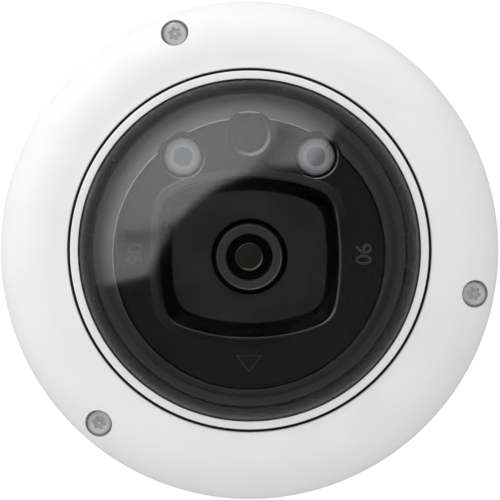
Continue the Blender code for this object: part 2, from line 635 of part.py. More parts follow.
def make_clips(mat):
    """Clips that hold the turntable's lip down and share the chassis screws."""
    inner = TURN_R + GAP
    outer_of_lip = TURN_LIP_R + GAP
    low = CHASSIS_TOP_Z + GAP
    profile = [(outer_of_lip, low), (CLIP_OUTER_R, low), (CLIP_OUTER_R, CLIP_TOP_Z), (inner, CLIP_TOP_Z),
               (inner, CLIP_UNDER_Z), (outer_of_lip, CLIP_UNDER_Z)]
    shank = CLIP_TOP_Z + GAP - CHASSIS_SHANK_END_Z
    made = []
    for number, angle in enumerate(POST_ANGLES, 1):
        clip = turned(f"pan_clip_{number}", profile, mat["black_metal"], steps=4, sweep=CLIP_ARC,
                      start=angle - CLIP_ARC / 2)
        place = on_circle(POST_R, [angle])
        hole = pins(f"clip_hole_{number}", place, CHASSIS_SHANK_R + SHANK_GAP, low - MM, CLIP_TOP_Z + MM)
        join_or_cut(clip, hole)
        bolt = screw(f"chassis_screw_{number}", CHASSIS_HEAD_R, CHASSIS_HEAD_H, CHASSIS_SHANK_R, shank, mat["steel"])
        bolt.location = (*place[0], CLIP_TOP_Z + GAP)
        made += [clip, bolt]
    return made


# ---------------------------------------------------------------- cover, dome and what lifts off with them
def shoulder(outer_r, low_z, top_z, start_r, steps=CURVE_STEPS):
    """The crown's curve, from the side wall's top up and in to the flat round the opening."""
    points = []
    for i in range(steps + 1):
        a = math.radians(90.0 * i / steps)
        share_r = math.cos(a) ** (2 / SHOULDER_POWER)
        share_z = math.sin(a) ** (2 / SHOULDER_POWER)
        points.append((start_r + (outer_r - start_r) * share_r, low_z + (top_z - low_z) * share_z))
    return points


def make_cover(mat):
    start_r = OPENING_R + SHOULDER_FLAT
    outside = [(BODY_R - 0.6 * MM, SKIRT_Z), (BODY_R - 0.1 * MM, SKIRT_Z + 0.5 * MM)]
    outside += shoulder(BODY_R, SHOULDER_Z, OPENING_Z, start_r)
    lip = [(OPENING_R + 0.5 * MM, OPENING_Z), (OPENING_R, OPENING_Z - 0.5 * MM), (OPENING_R, LIP_UNDER_Z)]
    rib = [(SEAL_INNER_R, LIP_UNDER_Z), (SEAL_INNER_R, COVER_RIB_Z), (SEAL_OUTER_R, COVER_RIB_Z)]
    inside = shoulder(COVER_INNER_R, SHOULDER_Z, LIP_UNDER_Z, start_r)
    inside = [p for p in reversed(inside) if p[0] > SEAL_OUTER_R + MM]
    rib_top = (SEAL_OUTER_R, inside[0][1] + 0.4 * MM)
    skirt = [(COVER_INNER_R, SKIRT_Z)]
    cover = turned("cover_shell", outside + lip + rib + [rib_top] + inside + skirt, mat["white_paint"])
    screws = on_circle(COVER_SCREW_R, COVER_SCREW_ANGLES)
    floor_z = COVER_HEAD_TOP_Z - COVER_HEAD_H - GAP / 2
    recess_r = COVER_HEAD_R + GAP
    bosses = pins("cover_bosses", screws, COVER_BOSS_R, COVER_RIB_Z + GAP, OPENING_Z + MM, steps=ROUND_STEPS)
    inset = COVER_WALL / 2
    core = [(0, COVER_RIB_Z), (BODY_R - inset, COVER_RIB_Z)]
    core += shoulder(BODY_R - inset, SHOULDER_Z, OPENING_Z - inset, start_r)
    core.append((0, OPENING_Z - inset))
    join_or_cut(bosses, turned("cover_core", core), "INTERSECT")
    join_or_cut(cover, bosses, "UNION")
    join_or_cut(cover, pins("cover_recesses", screws, recess_r, floor_z, OPENING_Z + 5 * MM, steps=ROUND_STEPS))
    join_or_cut(cover, pins("cover_holes", screws, COVER_SHANK_R + SHANK_GAP, COVER_RIB_Z - MM, floor_z + MM))
    small = on_circle(CLAMP_SCREW_R, CLAMP_ANGLES)
    join_or_cut(cover, pins("clamp_bosses", small, CLAMP_BOSS_R, CLAMP_TOP_Z + GAP, LIP_UNDER_Z + MM / 2), "UNION")
    hole_top = CLAMP_TOP_Z - CLAMP_T - GAP + CLAMP_SHANK_L + GAP
    join_or_cut(cover, pins("clamp_boss_holes", small, CLAMP_SHANK_R + SHANK_GAP, CLAMP_TOP_Z - MM, hole_top))
    notch_r = PLUG_FLANGE_R + NOTCH_GAP
    outline = [(-notch_r, -2 * CONDUIT_Z), (notch_r, -2 * CONDUIT_Z)]
    outline += [(notch_r * math.cos(math.pi * i / 12), notch_r * math.sin(math.pi * i / 12)) for i in range(13)]
    notch = prism("conduit_notch", outline, SEAL_OUTER_R + 2 * MM, BODY_R + 3 * MM)
    notch.rotation_euler.x = math.radians(90)
    notch.location.z = CONDUIT_Z
    join_or_cut(cover, notch)
    return cover


def make_dome(mat):
    inner_r = DOME_R - DOME_WALL
    outside = arc(0, DOME_Z, DOME_R, 0, 90, DOME_STEPS)
    inside = arc(0, DOME_Z, inner_r, 90, 0, DOME_STEPS)
    outside[-1] = (0, DOME_Z + DOME_R)
    inside[0] = (0, DOME_Z + inner_r)
    skirt = [(inner_r, DOME_BOTTOM_Z), (FLANGE_R, DOME_BOTTOM_Z), (FLANGE_R, DOME_FLANGE_TOP_Z),
             (DOME_R, DOME_FLANGE_TOP_Z)]
    return turned("dome_bubble", inside + skirt + outside, mat["clear"])


def trim_bore(z):
    return math.sqrt((DOME_R + GAP) ** 2 - max(z - DOME_Z, 0) ** 2)


def make_trim(mat):
    flange_z = TRIM_FLANGE_TOP_Z - TRIM_T
    top = OPENING_Z + TRIM_RISE
    corner = 0.7 * MM
    profile = [(DOME_R + GAP, flange_z), (FLANGE_R, flange_z), (FLANGE_R, TRIM_FLANGE_TOP_Z),
               (TRIM_R, TRIM_FLANGE_TOP_Z), (TRIM_R, top - corner), (TRIM_R - corner, top),
               (trim_bore(top) + 0.2 * MM, top), (trim_bore(top - 0.3 * MM), top - 0.3 * MM),
               (trim_bore(OPENING_Z), OPENING_Z)]
    return turned("dome_trim_ring", profile, mat["white_paint"])


def make_dome_gasket(mat):
    lip_in, lip_out = TRIM_R + SEAL_GAP, OPENING_R - SEAL_GAP
    low = GASKET_TOP_Z - GASKET_T
    profile = [(lip_in, low), (FLANGE_R, low), (FLANGE_R, GASKET_TOP_Z), (lip_out, GASKET_TOP_Z),
               (lip_out, LIP_UNDER_Z + GASKET_LIP), (lip_in, LIP_UNDER_Z + GASKET_LIP)]
    return turned("dome_gasket", profile, mat["black_rubber"])


def make_clamp(mat):
    outer = SEAL_INNER_R - GAP
    low = CLAMP_TOP_Z - CLAMP_T
    ring = turned("dome_clamp_ring", [(CLAMP_BORE_R, low), (outer, low), (outer, CLAMP_TOP_Z),
                                      (CLAMP_BORE_R, CLAMP_TOP_Z)], mat["black_metal"])
    places = on_circle(CLAMP_SCREW_R, CLAMP_ANGLES)
    join_or_cut(ring, pins("clamp_holes", places, CLAMP_SHANK_R + SHANK_GAP, low - MM, CLAMP_TOP_Z + MM))
    made = [ring]
    for number, (x, y) in enumerate(places, 1):
        bolt = screw(f"clamp_screw_{number}", CLAMP_HEAD_R, CLAMP_HEAD_H, CLAMP_SHANK_R, CLAMP_SHANK_L, mat["steel"])
        bolt.rotation_euler.x = math.pi
        bolt.location = (x, y, low - GAP)
        made.append(bolt)
    return made


def make_cover_screws(mat):
    head_z = COVER_HEAD_TOP_Z - COVER_HEAD_H
    shank = head_z - COVER_SHANK_END_Z
    lobes = 6
    star = []
    for i in range(4 * lobes):
        a = 2 * math.pi * i / (4 * lobes)
        r = DRIVE_R + DRIVE_LOBE * math.cos(lobes * a)
        star.append((r * math.cos(a), r * math.sin(a)))
    made = []
    for number, (x, y) in enumerate(on_circle(COVER_SCREW_R, COVER_SCREW_ANGLES), 1):
        bolt = turned(f"cover_screw_{number}", [(0, -shank), (COVER_SHANK_R, -shank), (COVER_SHANK_R, 0),
                                                (COVER_HEAD_R, 0), (COVER_HEAD_R, COVER_HEAD_H - 0.5 * MM),
                                                (COVER_HEAD_R - 0.5 * MM, COVER_HEAD_H), (0, COVER_HEAD_H)],
                      mat["steel"], steps=ROUND_STEPS)
        drive = prism(f"drive_{number}", star, COVER_HEAD_H - DRIVE_DEPTH, COVER_HEAD_H + MM)
        join_or_cut(bolt, drive)
        pin = pins(f"drive_pin_{number}", [(0, 0)], DRIVE_PIN_R, COVER_HEAD_H - 1.2 * DRIVE_DEPTH,
                   COVER_HEAD_H - 0.2 * DRIVE_DEPTH)
        join_or_cut(bolt, pin, "UNION")
        bolt.location = drive.location = pin.location = (x, y, head_z)
        made.append(bolt)
    return made


# ---------------------------------------------------------------- pan turntable and yoke
def make_turntable(mat):
    inner = sweep_radius(TURN_TOP_Z) + GAP
    lip_z = TURN_Z + TURN_LIP_T
    profile = [(inner, TURN_Z), (TURN_LIP_R, TURN_Z), (TURN_LIP_R, lip_z), (TURN_R, lip_z), (TURN_R, TURN_TOP_Z),
               (inner, TURN_TOP_Z)]
    table = turned("pan_turntable", profile, mat["black_shell"])
    places = [(YOKE_SCREW_X, 0.0), (-YOKE_SCREW_X, 0.0)]
    join_or_cut(table, pins("yoke_screw_holes", places, YOKE_SHANK_R + SHANK_GAP, TURN_Z - MM, TURN_TOP_Z + MM))
    return table


def make_yoke_arm(name, side, mat):
    """A bent steel arm: an upright ear that carries the tilt screw, and a foot under it."""
    rise = PIVOT_Z - FOOT_Z
    half = ARM_WIDTH / 2
    neck = rise - 1.3 * ARM_TOP_R
    outline = [(-half, 0), (half, 0), (half, 0.62 * rise), (ARM_TOP_R, neck)]
    outline += [(ARM_TOP_R * math.cos(math.pi * i / 8), rise + ARM_TOP_R * math.sin(math.pi * i / 8))
                for i in range(9)]
    outline += [(-ARM_TOP_R, neck), (-half, 0.62 * rise)]
    ear = prism(name, outline, ARM_X, ARM_X + ARM_T, mat["black_metal"])
    ear.data.transform(Matrix(((0, 0, side, 0), (side, 0, 0, 0), (0, 1, 0, 0), (0, 0, 0, 1))))
    ear.location.z = FOOT_Z
    foot_in = sweep_radius(FOOT_TOP_Z) + GAP
    foot_out = ARM_X + ARM_T / 2
    foot = prism(name + "_foot", rectangle(foot_out - foot_in, ARM_WIDTH - 0.02 * MM, ((foot_in + foot_out) / 2, 0)),
                 0.01 * MM, ARM_FOOT_T)
    foot.location.z = FOOT_Z
    foot.rotation_euler.z = 0 if side > 0 else math.pi
    join_or_cut(ear, foot, "UNION")
    hole = turned(name + "_bore", [(0, 0), (TILT_SHANK_R + SHANK_GAP, 0), (TILT_SHANK_R + SHANK_GAP, 6 * MM),
                                   (0, 6 * MM)], steps=PIN_STEPS)
    lay_along(hole, (side, 0, 0), (side * (ARM_X - 2 * MM), 0, PIVOT_Z))
    join_or_cut(ear, hole)
    small = pins(name + "_foot_hole", [(side * YOKE_SCREW_X, 0)], YOKE_SHANK_R + SHANK_GAP, FOOT_Z - MM,
                 FOOT_TOP_Z + MM)
    join_or_cut(ear, small)
    return ear


def make_yoke_screw(name, side, mat):
    shank = ARM_FOOT_T + 2 * GAP + 0.8 * TURN_T
    bolt = screw(name, YOKE_HEAD_R, YOKE_HEAD_H, YOKE_SHANK_R, shank, mat["steel"])
    bolt.location = (side * YOKE_SCREW_X, 0, FOOT_TOP_Z + GAP)
    return bolt


# ---------------------------------------------------------------- tilt ring, in heights from the pivot
def make_tilt_ring(mat):
    ring = turned("tilt_ring", [(TILT_BORE_R, -TILT_HALF_H), (TILT_RING_R, -TILT_HALF_H), (TILT_RING_R, TILT_HALF_H),
                                (TILT_BORE_R, TILT_HALF_H)], mat["black_shell"])
    start = TILT_BORE_R + 1.5 * MM
    for side, word in ((1, "right"), (-1, "left")):
        long = ARM_X - GAP - start
        radius = min(TILT_BOSS_R, RIM_H - GAP)
        boss = turned(f"tilt_boss_{word}", [(0, 0), (radius, 0), (radius, long), (0, long)], steps=PIN_STEPS)
        join_or_cut(ring, lay_along(boss, (side, 0, 0), (side * start, 0, 0)), "UNION")
        bore_r = TILT_SHANK_R + SHANK_GAP
        from_x = ARM_X + ARM_T + SEAL_GAP - TILT_SHANK_L - GAP
        bore = turned(f"tilt_bore_{word}", [(0, 0), (bore_r, 0), (bore_r, 9 * MM), (0, 9 * MM)], steps=PIN_STEPS)
        join_or_cut(ring, lay_along(bore, (side, 0, 0), (side * from_x, 0, 0)))
    return ring


def make_tilt_screw(name, side, mat):
    bolt = screw(name, TILT_HEAD_R, TILT_HEAD_T, TILT_SHANK_R, TILT_SHANK_L, mat["steel"])
    slot = prism(name + "_slot", rectangle(1.4 * TILT_HEAD_R, 0.8 * MM), TILT_HEAD_T - 0.6 * MM, TILT_HEAD_T + MM)
    join_or_cut(bolt, slot)
    for piece in (bolt, slot):
        lay_along(piece, (side, 0, 0), (side * (ARM_X + ARM_T + SEAL_GAP), 0, 0))
    return bolt


# ---------------------------------------------------------------- camera ball, in heights from the pivot
def sphere_points(radius, low_h, high_h, steps):
    low, high = math.asin(low_h / radius), math.asin(high_h / radius)
    return arc(0, 0, radius, math.degrees(low), math.degrees(high), steps)


def lobe_places():
    return [(LED_X, LED_Y), (-LED_X, LED_Y), (0.0, DIMPLE_Y)]


def make_ball_shell(mat):
    seat_r = FACE_R + FACE_SEAM
    edge_h = math.sqrt(BALL_R**2 - seat_r**2)
    ledge_h = FACE_UNDER_H - GAP
    inner_r = BALL_R - BALL_WALL
    ledge_in = seat_r - LEDGE_W
    ledge_low = ledge_h - LEDGE_T
    outside = sphere_points(BALL_R, RIM_H, edge_h, CURVE_STEPS)
    seat = [(seat_r, ledge_h), (ledge_in, ledge_h), (ledge_in, ledge_low)]
    inside = sphere_points(inner_r, RIM_H, ledge_low, CURVE_STEPS)
    shell = turned("ball_shell", outside + seat + list(reversed(inside)), mat["black_shell"])
    low = FACE_H - LOBE_DEPTH - GAP
    join_or_cut(shell, pins("lobe_clearance", lobe_places(), LOBE_R + GAP, low, BALL_R, steps=ROUND_STEPS))
    return shell


def make_face_plate(mat):
    plate = turned("face_plate", [(0, FACE_UNDER_H), (FACE_R, FACE_UNDER_H), (FACE_R, FACE_H - 0.3 * MM),
                                  (FACE_R - 0.3 * MM, FACE_H), (0, FACE_H)], mat["black_texture"])
    shave = 0.01 * MM
    lobes = pins("face_lobes", lobe_places(), LOBE_R, FACE_H - LOBE_DEPTH, FACE_H - shave, steps=ROUND_STEPS)
    join_or_cut(lobes, turned("lobe_limit", arc(0, 0, BALL_R + LOBE_REACH, -90, 90, LIMIT_STEPS)), "INTERSECT")
    join_or_cut(plate, lobes, "UNION")
    leds = [(LED_X, LED_Y), (-LED_X, LED_Y)]
    join_or_cut(plate, pins("led_holes", leds, LED_HOLE_R, FACE_H - LOBE_DEPTH - MM, FACE_H + MM, steps=ROUND_STEPS))
    dimple = pins("face_dimple", [(0.0, DIMPLE_Y)], DIMPLE_R, FACE_H - DIMPLE_DEPTH, FACE_H + MM, steps=ROUND_STEPS)
    join_or_cut(plate, dimple)
    window = prism("well_window", barrel(WELL_MOUTH[0] + WELL_WALL + GAP, WELL_MOUTH[1] + WELL_WALL + GAP),
                   FACE_H - LOBE_DEPTH - MM, FACE_H + MM)
    window.location.y = LENS_Y
    join_or_cut(plate, window)
    return plate


def make_lens_well(mat):
    """The barrel-sided well round the lens: a lip on the face, a sloping wall and a floor with the lens hole."""
    lip_top, lip_low = FACE_H + WELL_RISE, FACE_H + GAP / 2
    floor_low = WELL_FLOOR_H - WELL_WALL
    wall = WELL_WALL
    rings = [
        (WELL_LIP, lip_low),
        ((WELL_LIP[0] - 0.5 * MM, WELL_LIP[1] - 0.5 * MM), lip_top),
        ((WELL_MOUTH[0] + 0.4 * MM, WELL_MOUTH[1] + 0.4 * MM), lip_top),
        (WELL_MOUTH, lip_top - 0.4 * MM),
        (WELL_FLOOR, WELL_FLOOR_H),
        (None, WELL_FLOOR_H),
        (None, floor_low),
        ((WELL_FLOOR[0] + 0.8 * wall, WELL_FLOOR[1] + 0.8 * wall), floor_low),
        ((WELL_MOUTH[0] + wall, WELL_MOUTH[1] + wall), FACE_UNDER_H - GAP),
        ((WELL_MOUTH[0] + wall, WELL_MOUTH[1] + wall), lip_low),
    ]
    bm = bmesh.new()
    loops = []
    for half_sizes, h in rings:
        outline = barrel(*half_sizes) if half_sizes else circle(LENS_HOLE_R, steps=WELL_STEPS)
        loops.append([bm.verts.new((x, y + LENS_Y, h)) for x, y in outline])
    for this, following in zip(loops, loops[1:] + loops[:1]):
        for i in range(WELL_STEPS):
            j = (i + 1) % WELL_STEPS
            bm.faces.new((this[i], this[j], following[j], following[i]))
    return to_object(bm, "lens_well", mat["black_shell"])


def make_swivel(mat):
    flange_top = SWIVEL_FLANGE_H + SWIVEL_FLANGE_T
    floor_top = SWIVEL_FLOOR_H + SWIVEL_FLOOR_T
    cup = [(0, SWIVEL_FLOOR_H), (SWIVEL_TUBE_R, SWIVEL_FLOOR_H), (SWIVEL_TUBE_R, SWIVEL_FLANGE_H),
           (SWIVEL_FLANGE_R, SWIVEL_FLANGE_H), (SWIVEL_FLANGE_R, flange_top), (SWIVEL_BORE_R, flange_top),
           (SWIVEL_BORE_R, floor_top), (0, floor_top)]
    swivel = turned("swivel_cup", cup, mat["black_shell"])
    window = prism("flex_window", rectangle(14 * MM, 5 * MM, (0, -19 * MM)), SWIVEL_FLOOR_H - MM, floor_top + MM)
    join_or_cut(swivel, window)
    inner = SWIVEL_TUBE_R + 0.2 * MM
    low = SWIVEL_FLOOR_H
    gap_angle = math.degrees(RETAIN_SPLIT / inner)
    clip = turned("swivel_retainer", [(inner, low), (inner + RETAIN_W, low), (inner + RETAIN_W, low + RETAIN_T),
                                      (inner, low + RETAIN_T)], mat["steel"], sweep=360.0 - gap_angle,
                  start=gap_angle / 2 - 90.0)
    return [swivel, clip]


def make_sensor(mat):
    width, depth, thick = SENSOR_BOARD
    centre = (0.0, LENS_Y)
    board = prism("sensor_board", rectangle(width, depth), SENSOR_BOARD_H, SENSOR_BOARD_H + thick, mat["board"])
    chip_w, chip_d, chip_t = SENSOR_CHIP
    low = SENSOR_TOP_H + GAP
    chip = prism("image_sensor", rectangle(chip_w, chip_d, centre), low, low + chip_t, mat["chip"])
    base = rectangle(HOLDER_SIDE, HOLDER_SIDE, centre)
    holder = prism("lens_holder", base, low, low + HOLDER_BASE_H, mat["black_shell"])
    tube = pins("holder_tube", [centre], HOLDER_TUBE_R, low + HOLDER_BASE_H / 2, HOLDER_TOP_H, steps=ROUND_STEPS)
    join_or_cut(holder, tube, "UNION")
    cavity = prism("holder_cavity", rectangle(chip_w + 2 * MM, chip_d + 2 * MM, centre), low - MM, low + chip_t + MM)
    join_or_cut(holder, cavity)
    bore_low = low + chip_t + MM / 2
    bore = pins("holder_bore", [centre], LENS_THREAD_R + GAP, bore_low, HOLDER_TOP_H + MM, steps=ROUND_STEPS)
    join_or_cut(holder, bore)
    return [board, chip, holder]


def make_lens(mat):
    shoulder_h = LENS_SHOULDER_H
    seat_h = LENS_FRONT_H - LENS_SEAT_DEPTH
    glass_low = seat_h + GAP / 2
    mouth_r = LENS_GLASS_R + GAP / 2
    body = turned("lens_barrel", [
        (0, LENS_REAR_H), (LENS_THREAD_R, LENS_REAR_H), (LENS_THREAD_R, shoulder_h), (LENS_BODY_R, shoulder_h),
        (LENS_BODY_R, LENS_FRONT_H - 0.4 * MM), (LENS_BODY_R - 0.4 * MM, LENS_FRONT_H),
        (mouth_r + 0.5 * MM, LENS_FRONT_H), (mouth_r, LENS_FRONT_H - 0.5 * MM), (mouth_r, seat_h),
        (IRIS_R, seat_h - MM), (IRIS_R, seat_h - 2 * MM), (0, seat_h - 2 * MM)],
        mat["black_metal"], steps=ROUND_STEPS)
    crown = LENS_GLASS_CROWN
    bulge = (LENS_GLASS_R**2 + crown**2) / (2 * crown)
    edge_h = glass_low + LENS_GLASS_EDGE
    half_angle = math.degrees(math.asin(LENS_GLASS_R / bulge))
    face = arc(0, edge_h + crown - bulge, bulge, 90 - half_angle, 90, 5)
    face[0], face[-1] = (LENS_GLASS_R, edge_h), (0, edge_h + crown)
    glass = turned("lens_glass", [(0, glass_low), (LENS_GLASS_R, glass_low)] + face, mat["glass"], steps=ROUND_STEPS)
    lock_h = HOLDER_TOP_H + GAP
    lock_in = LENS_THREAD_R + GAP
    lock = turned("lens_lock_ring", [(lock_in, lock_h), (LOCK_RING_R, lock_h), (LOCK_RING_R, lock_h + LOCK_RING_T),
                                     (lock_in, lock_h + LOCK_RING_T)], mat["brass"], steps=ROUND_STEPS)
    for piece in (body, glass, lock):
        piece.location.y = LENS_Y
    return [body, glass, lock]


def make_infrared(mat):
    board = turned("ir_board", [(0, IR_BOARD_H), (IR_BOARD_R, IR_BOARD_H), (IR_BOARD_R, IR_BOARD_H + IR_BOARD_T),
                                (0, IR_BOARD_H + IR_BOARD_T)], mat["board"])
    cutter = prism("ir_board_cut", rectangle(4 * IR_BOARD_R, 2 * IR_BOARD_R, (0, IR_BOARD_Y - IR_BOARD_R)),
                   IR_BOARD_H - MM, IR_BOARD_H + IR_BOARD_T + MM)
    join_or_cut(board, cutter)
    top = FACE_H - IR_LENS_SINK
    cavity_r = 0.5 * LED_SIDE * math.sqrt(2) + GAP
    cavity_top = LED_H + LED_T + GAP
    flange_top = FACE_H - 2.7 * MM
    flange_low = flange_top - 0.9 * MM
    lens = [(0, cavity_top), (cavity_r, cavity_top), (cavity_r, LED_H), (IR_LENS_R, LED_H), (IR_LENS_R, flange_low),
            (IR_FLANGE_R, flange_low), (IR_FLANGE_R, flange_top), (IR_LENS_R, flange_top),
            (IR_LENS_R, top - 0.6 * MM), (IR_LENS_R - 0.5 * MM, top - 0.2 * MM), (0, top)]
    made = [board]
    for word, x in (("left", -LED_X), ("right", LED_X)):
        window = turned(f"ir_window_{word}", lens, mat["ir_clear"], steps=ROUND_STEPS)
        led = prism(f"ir_led_{word}", rectangle(LED_SIDE, LED_SIDE), LED_H, LED_H + LED_T, mat["led"])
        window.location = led.location = (x, LED_Y, 0)
        made += [window, led]
    return made


# ---------------------------------------------------------------- the whole camera
def clear_scene():
    for obj in list(bpy.data.objects):
        bpy.data.objects.remove(obj, do_unlink=True)


def build():
    clear_scene()
    mat = make_finishes()
    root = axis_empty("mounting_face", None, (0, 0, 0))
    cover_seat = axis_empty("cover_lift_axis", root, (0, 0, 0))
    pan_axis = axis_empty("pan_axis", root, (0, 0, 0))
    tilt_axis = axis_empty("tilt_axis", pan_axis, (0, 0, PIVOT_Z), TILT_AT_REST)
    roll_axis = axis_empty("roll_axis", tilt_axis, (0, 0, 0))

    switch, button, button_z = make_reset_switch(mat)
    button_axis = axis_empty("reset_button_axis", root, (*RESET_AT, button_z))
    hang(button_axis, button)
    hang(root, make_base(mat), make_grommet(mat), *make_conduit_plug(mat), make_body_gasket(mat),
         make_main_board(mat), *make_board_parts(mat), switch, *make_standoffs(mat), make_chassis(mat),
         *make_clips(mat))
    hang(cover_seat, make_cover(mat), make_dome(mat), make_trim(mat), make_dome_gasket(mat), *make_clamp(mat),
         *make_cover_screws(mat))
    hang(pan_axis, make_turntable(mat))
    for side, word in ((-1, "left"), (1, "right")):
        hang(pan_axis, make_yoke_arm(f"yoke_arm_{word}", side, mat), make_yoke_screw(f"yoke_screw_{word}", side, mat))
        hang(tilt_axis, make_tilt_screw(f"tilt_screw_{word}", side, mat))
    hang(tilt_axis, make_tilt_ring(mat))
    hang(roll_axis, make_ball_shell(mat), make_face_plate(mat), make_lens_well(mat), *make_swivel(mat),
         *make_sensor(mat), *make_lens(mat), *make_infrared(mat))


build()
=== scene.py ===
"""Looks for a surface-mount dome camera: white housing, clear bubble, black camera ball.

Sizes are in millimetres, and MM turns them into the scene's metres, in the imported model's frame: +Z runs
out along the dome's axis and +Y towards the infrared windows. Pieces of the camera ball are made with
their heights counted from the tilt pivot, along the lens, and then laid on the ball's own axis.
"""

import math

import bmesh
import bpy
from mathutils import Matrix, Vector


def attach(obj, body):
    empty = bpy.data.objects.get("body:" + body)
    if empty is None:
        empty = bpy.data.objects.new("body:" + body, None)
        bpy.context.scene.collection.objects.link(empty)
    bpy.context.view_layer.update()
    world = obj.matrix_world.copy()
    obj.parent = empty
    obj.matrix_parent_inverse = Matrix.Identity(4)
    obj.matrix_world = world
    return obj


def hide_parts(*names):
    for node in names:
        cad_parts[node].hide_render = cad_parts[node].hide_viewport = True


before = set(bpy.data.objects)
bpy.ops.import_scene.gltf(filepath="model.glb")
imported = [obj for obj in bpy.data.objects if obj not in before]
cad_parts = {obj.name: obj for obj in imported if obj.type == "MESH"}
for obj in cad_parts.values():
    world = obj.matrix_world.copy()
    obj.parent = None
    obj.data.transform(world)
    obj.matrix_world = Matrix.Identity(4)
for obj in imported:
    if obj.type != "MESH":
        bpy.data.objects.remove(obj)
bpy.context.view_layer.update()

MM = 0.001
PIVOT_Z = 41.0
LEAN = math.radians(3.0)
BALL = Matrix.Translation((0, 0, PIVOT_Z * MM)) @ Matrix.Rotation(LEAN, 4, "X")
UPRIGHT = Matrix.Identity(4)
LENS_Y = -0.8
DOME_Z = 48.2
SWEPT_R = 38.3
CONDUIT_Z = 10.5

# Fastenings: the angles they stand at, and the radius of their circle.
COVER_SCREWS = (109.0, 229.0, 349.0)
COVER_SCREW_R = 55.1
CLAMP_SCREWS = (49.0, 169.0, 289.0)
CLAMP_SCREW_R = 46.9
POSTS = (90.0, 210.0, 330.0)
POST_R = 43.5
YOKE_SCREW_X = 36.1
PIVOT_BORE_R = 1.9

FINE_FACETS = 160
ROUND_FACETS = 64


# ---------------------------------------------------------------- node graphs written as Python
class Value:
    """A node's output that takes part in Python sums. Colours go through mix instead."""

    def __init__(self, graph, socket):
        self.graph = graph
        self.socket = socket

    def maths(self, operation, *others):
        values = dict(enumerate((self, *others)))
        return self.graph.node("ShaderNodeMath", values, operation=operation)["Value"]

    def ramp(self, low, high):
        """Runs smoothly from 0 at low to 1 at high, and stays there outside."""
        values = {"Value": self, "From Min": low, "From Max": high}
        return self.graph.node("ShaderNodeMapRange", values, interpolation_type="SMOOTHSTEP")["Result"]


def operator(operation, swapped=False):
    """A Python operator that adds a maths node. Swapped, it serves a plain number on its left."""

    def apply(this, other):
        values = {0: other, 1: this} if swapped else {0: this, 1: other}
        return this.graph.node("ShaderNodeMath", values, operation=operation)["Value"]

    return apply


SIGNS = {"add": "ADD", "sub": "SUBTRACT", "mul": "MULTIPLY", "truediv": "DIVIDE", "pow": "POWER"}
for sign, sum_name in SIGNS.items():
    setattr(Value, f"__{sign}__", operator(sum_name))
    setattr(Value, f"__r{sign}__", operator(sum_name, swapped=True))


class Node:
    def __init__(self, graph, node):
        self.graph = graph
        self.node = node

    def __getitem__(self, name):
        return Value(self.graph, self.node.outputs[name])


class Graph:
    """A shader or geometry tree. node() makes any node, from its sockets' values and its settings."""

    def __init__(self, tree):
        self.tree = tree

    def node(self, kind, values=None, **settings):
        made = self.tree.nodes.new(kind)
        for name, setting in settings.items():
            setattr(made, name, setting)
        for name, value in (values or {}).items():
            if isinstance(value, Value):
                self.tree.links.new(value.socket, made.inputs[name])
            else:
                made.inputs[name].default_value = value
        return Node(self, made)


def rgba(colour):
    """A colour given as red, green and blue, or as one number for a grey. A blend stays as it is."""
    if isinstance(colour, Value):
        return colour
    return (*colour, 1) if isinstance(colour, tuple) else (colour, colour, colour, 1)


class Finish(Graph):
    """A surface finish: one material, with the patterns the finishes share."""

    def __init__(self, name):
        self.material = bpy.data.materials.new(name)
        self.material.use_nodes = True
        super().__init__(self.material.node_tree)
        self.tree.nodes.clear()
        self.place = self.node("ShaderNodeTexCoord")["Object"]

    def grain(self, size, detail=2.0, rough=0.5, stretch=None):
        """Noise between 0 and 1 whose blobs are about size across."""
        place = self.place
        if stretch:
            place = self.node("ShaderNodeMapping", {"Vector": place, "Scale": stretch})["Vector"]
        values = {"Vector": place, "Scale": 1 / (size * MM), "Detail": detail, "Roughness": rough}
        return self.node("ShaderNodeTexNoise", values)["Fac"]

    def pits(self, size):
        """Distance to the nearest of points scattered about size apart."""
        values = {"Vector": self.place, "Scale": 1 / (size * MM)}
        return self.node("ShaderNodeTexVoronoi", values)["Distance"]

    def mix(self, share, first, second):
        """Blends two colours, or blends of colours."""
        values = {0: share, 6: rgba(first), 7: rgba(second)}
        made = self.node("ShaderNodeMix", values, data_type="RGBA")
        return Value(self, made.node.outputs[2])

    def bump(self, height, distance, strength):
        values = {"Height": height, "Distance": distance * MM, "Strength": strength}
        return self.node("ShaderNodeBump", values)["Normal"]

    def surface(self, shader):
        self.node("ShaderNodeOutputMaterial", {"Surface": shader})
        return self.material

    def solid(self, **values):
        """Ends the finish in one Principled shader. Names read as the socket's, with _ for a space."""
        named = {name.replace("_", " "): value for name, value in values.items()}
        named["Base Color"] = rgba(named["Base Color"])
        return self.surface(self.node("ShaderNodeBsdfPrincipled", named)["BSDF"])


def powder_coat(name, colour, shade, roughness):
    """Sprayed and baked powder: a fine orange peel with a few duller patches."""
    f = Finish(name)
    peel = f.grain(0.55, 3.0)
    patches = f.grain(14, 2.0)
    fleck = f.grain(0.16, 1.0).ramp(0.7, 0.78)
    return f.solid(
        Base_Color=f.mix(patches.ramp(0.35, 0.7) * 0.7 + fleck * 0.3, colour, shade),
        Roughness=roughness + 0.1 * patches + 0.06 * peel,
        Normal=f.bump(peel + 0.3 * fleck, 0.012, 0.5),
        IOR=1.5,
    )


def moulded(name, colour, worn, roughness, grain=0.35, depth=0.004, ior=1.5):
    """Moulded plastic, satin to glossy, with faint flow marks and handling wear."""
    f = Finish(name)
    fine = f.grain(grain, 3.0)
    flow = f.grain(9, 2.0, stretch=(1, 1, 2.5))
    return f.solid(
        Base_Color=f.mix(flow.ramp(0.3, 0.75), colour, worn),
        Roughness=roughness + 0.1 * flow + 0.05 * fine,
        Normal=f.bump(fine, depth, 0.6),
        IOR=ior,
    )


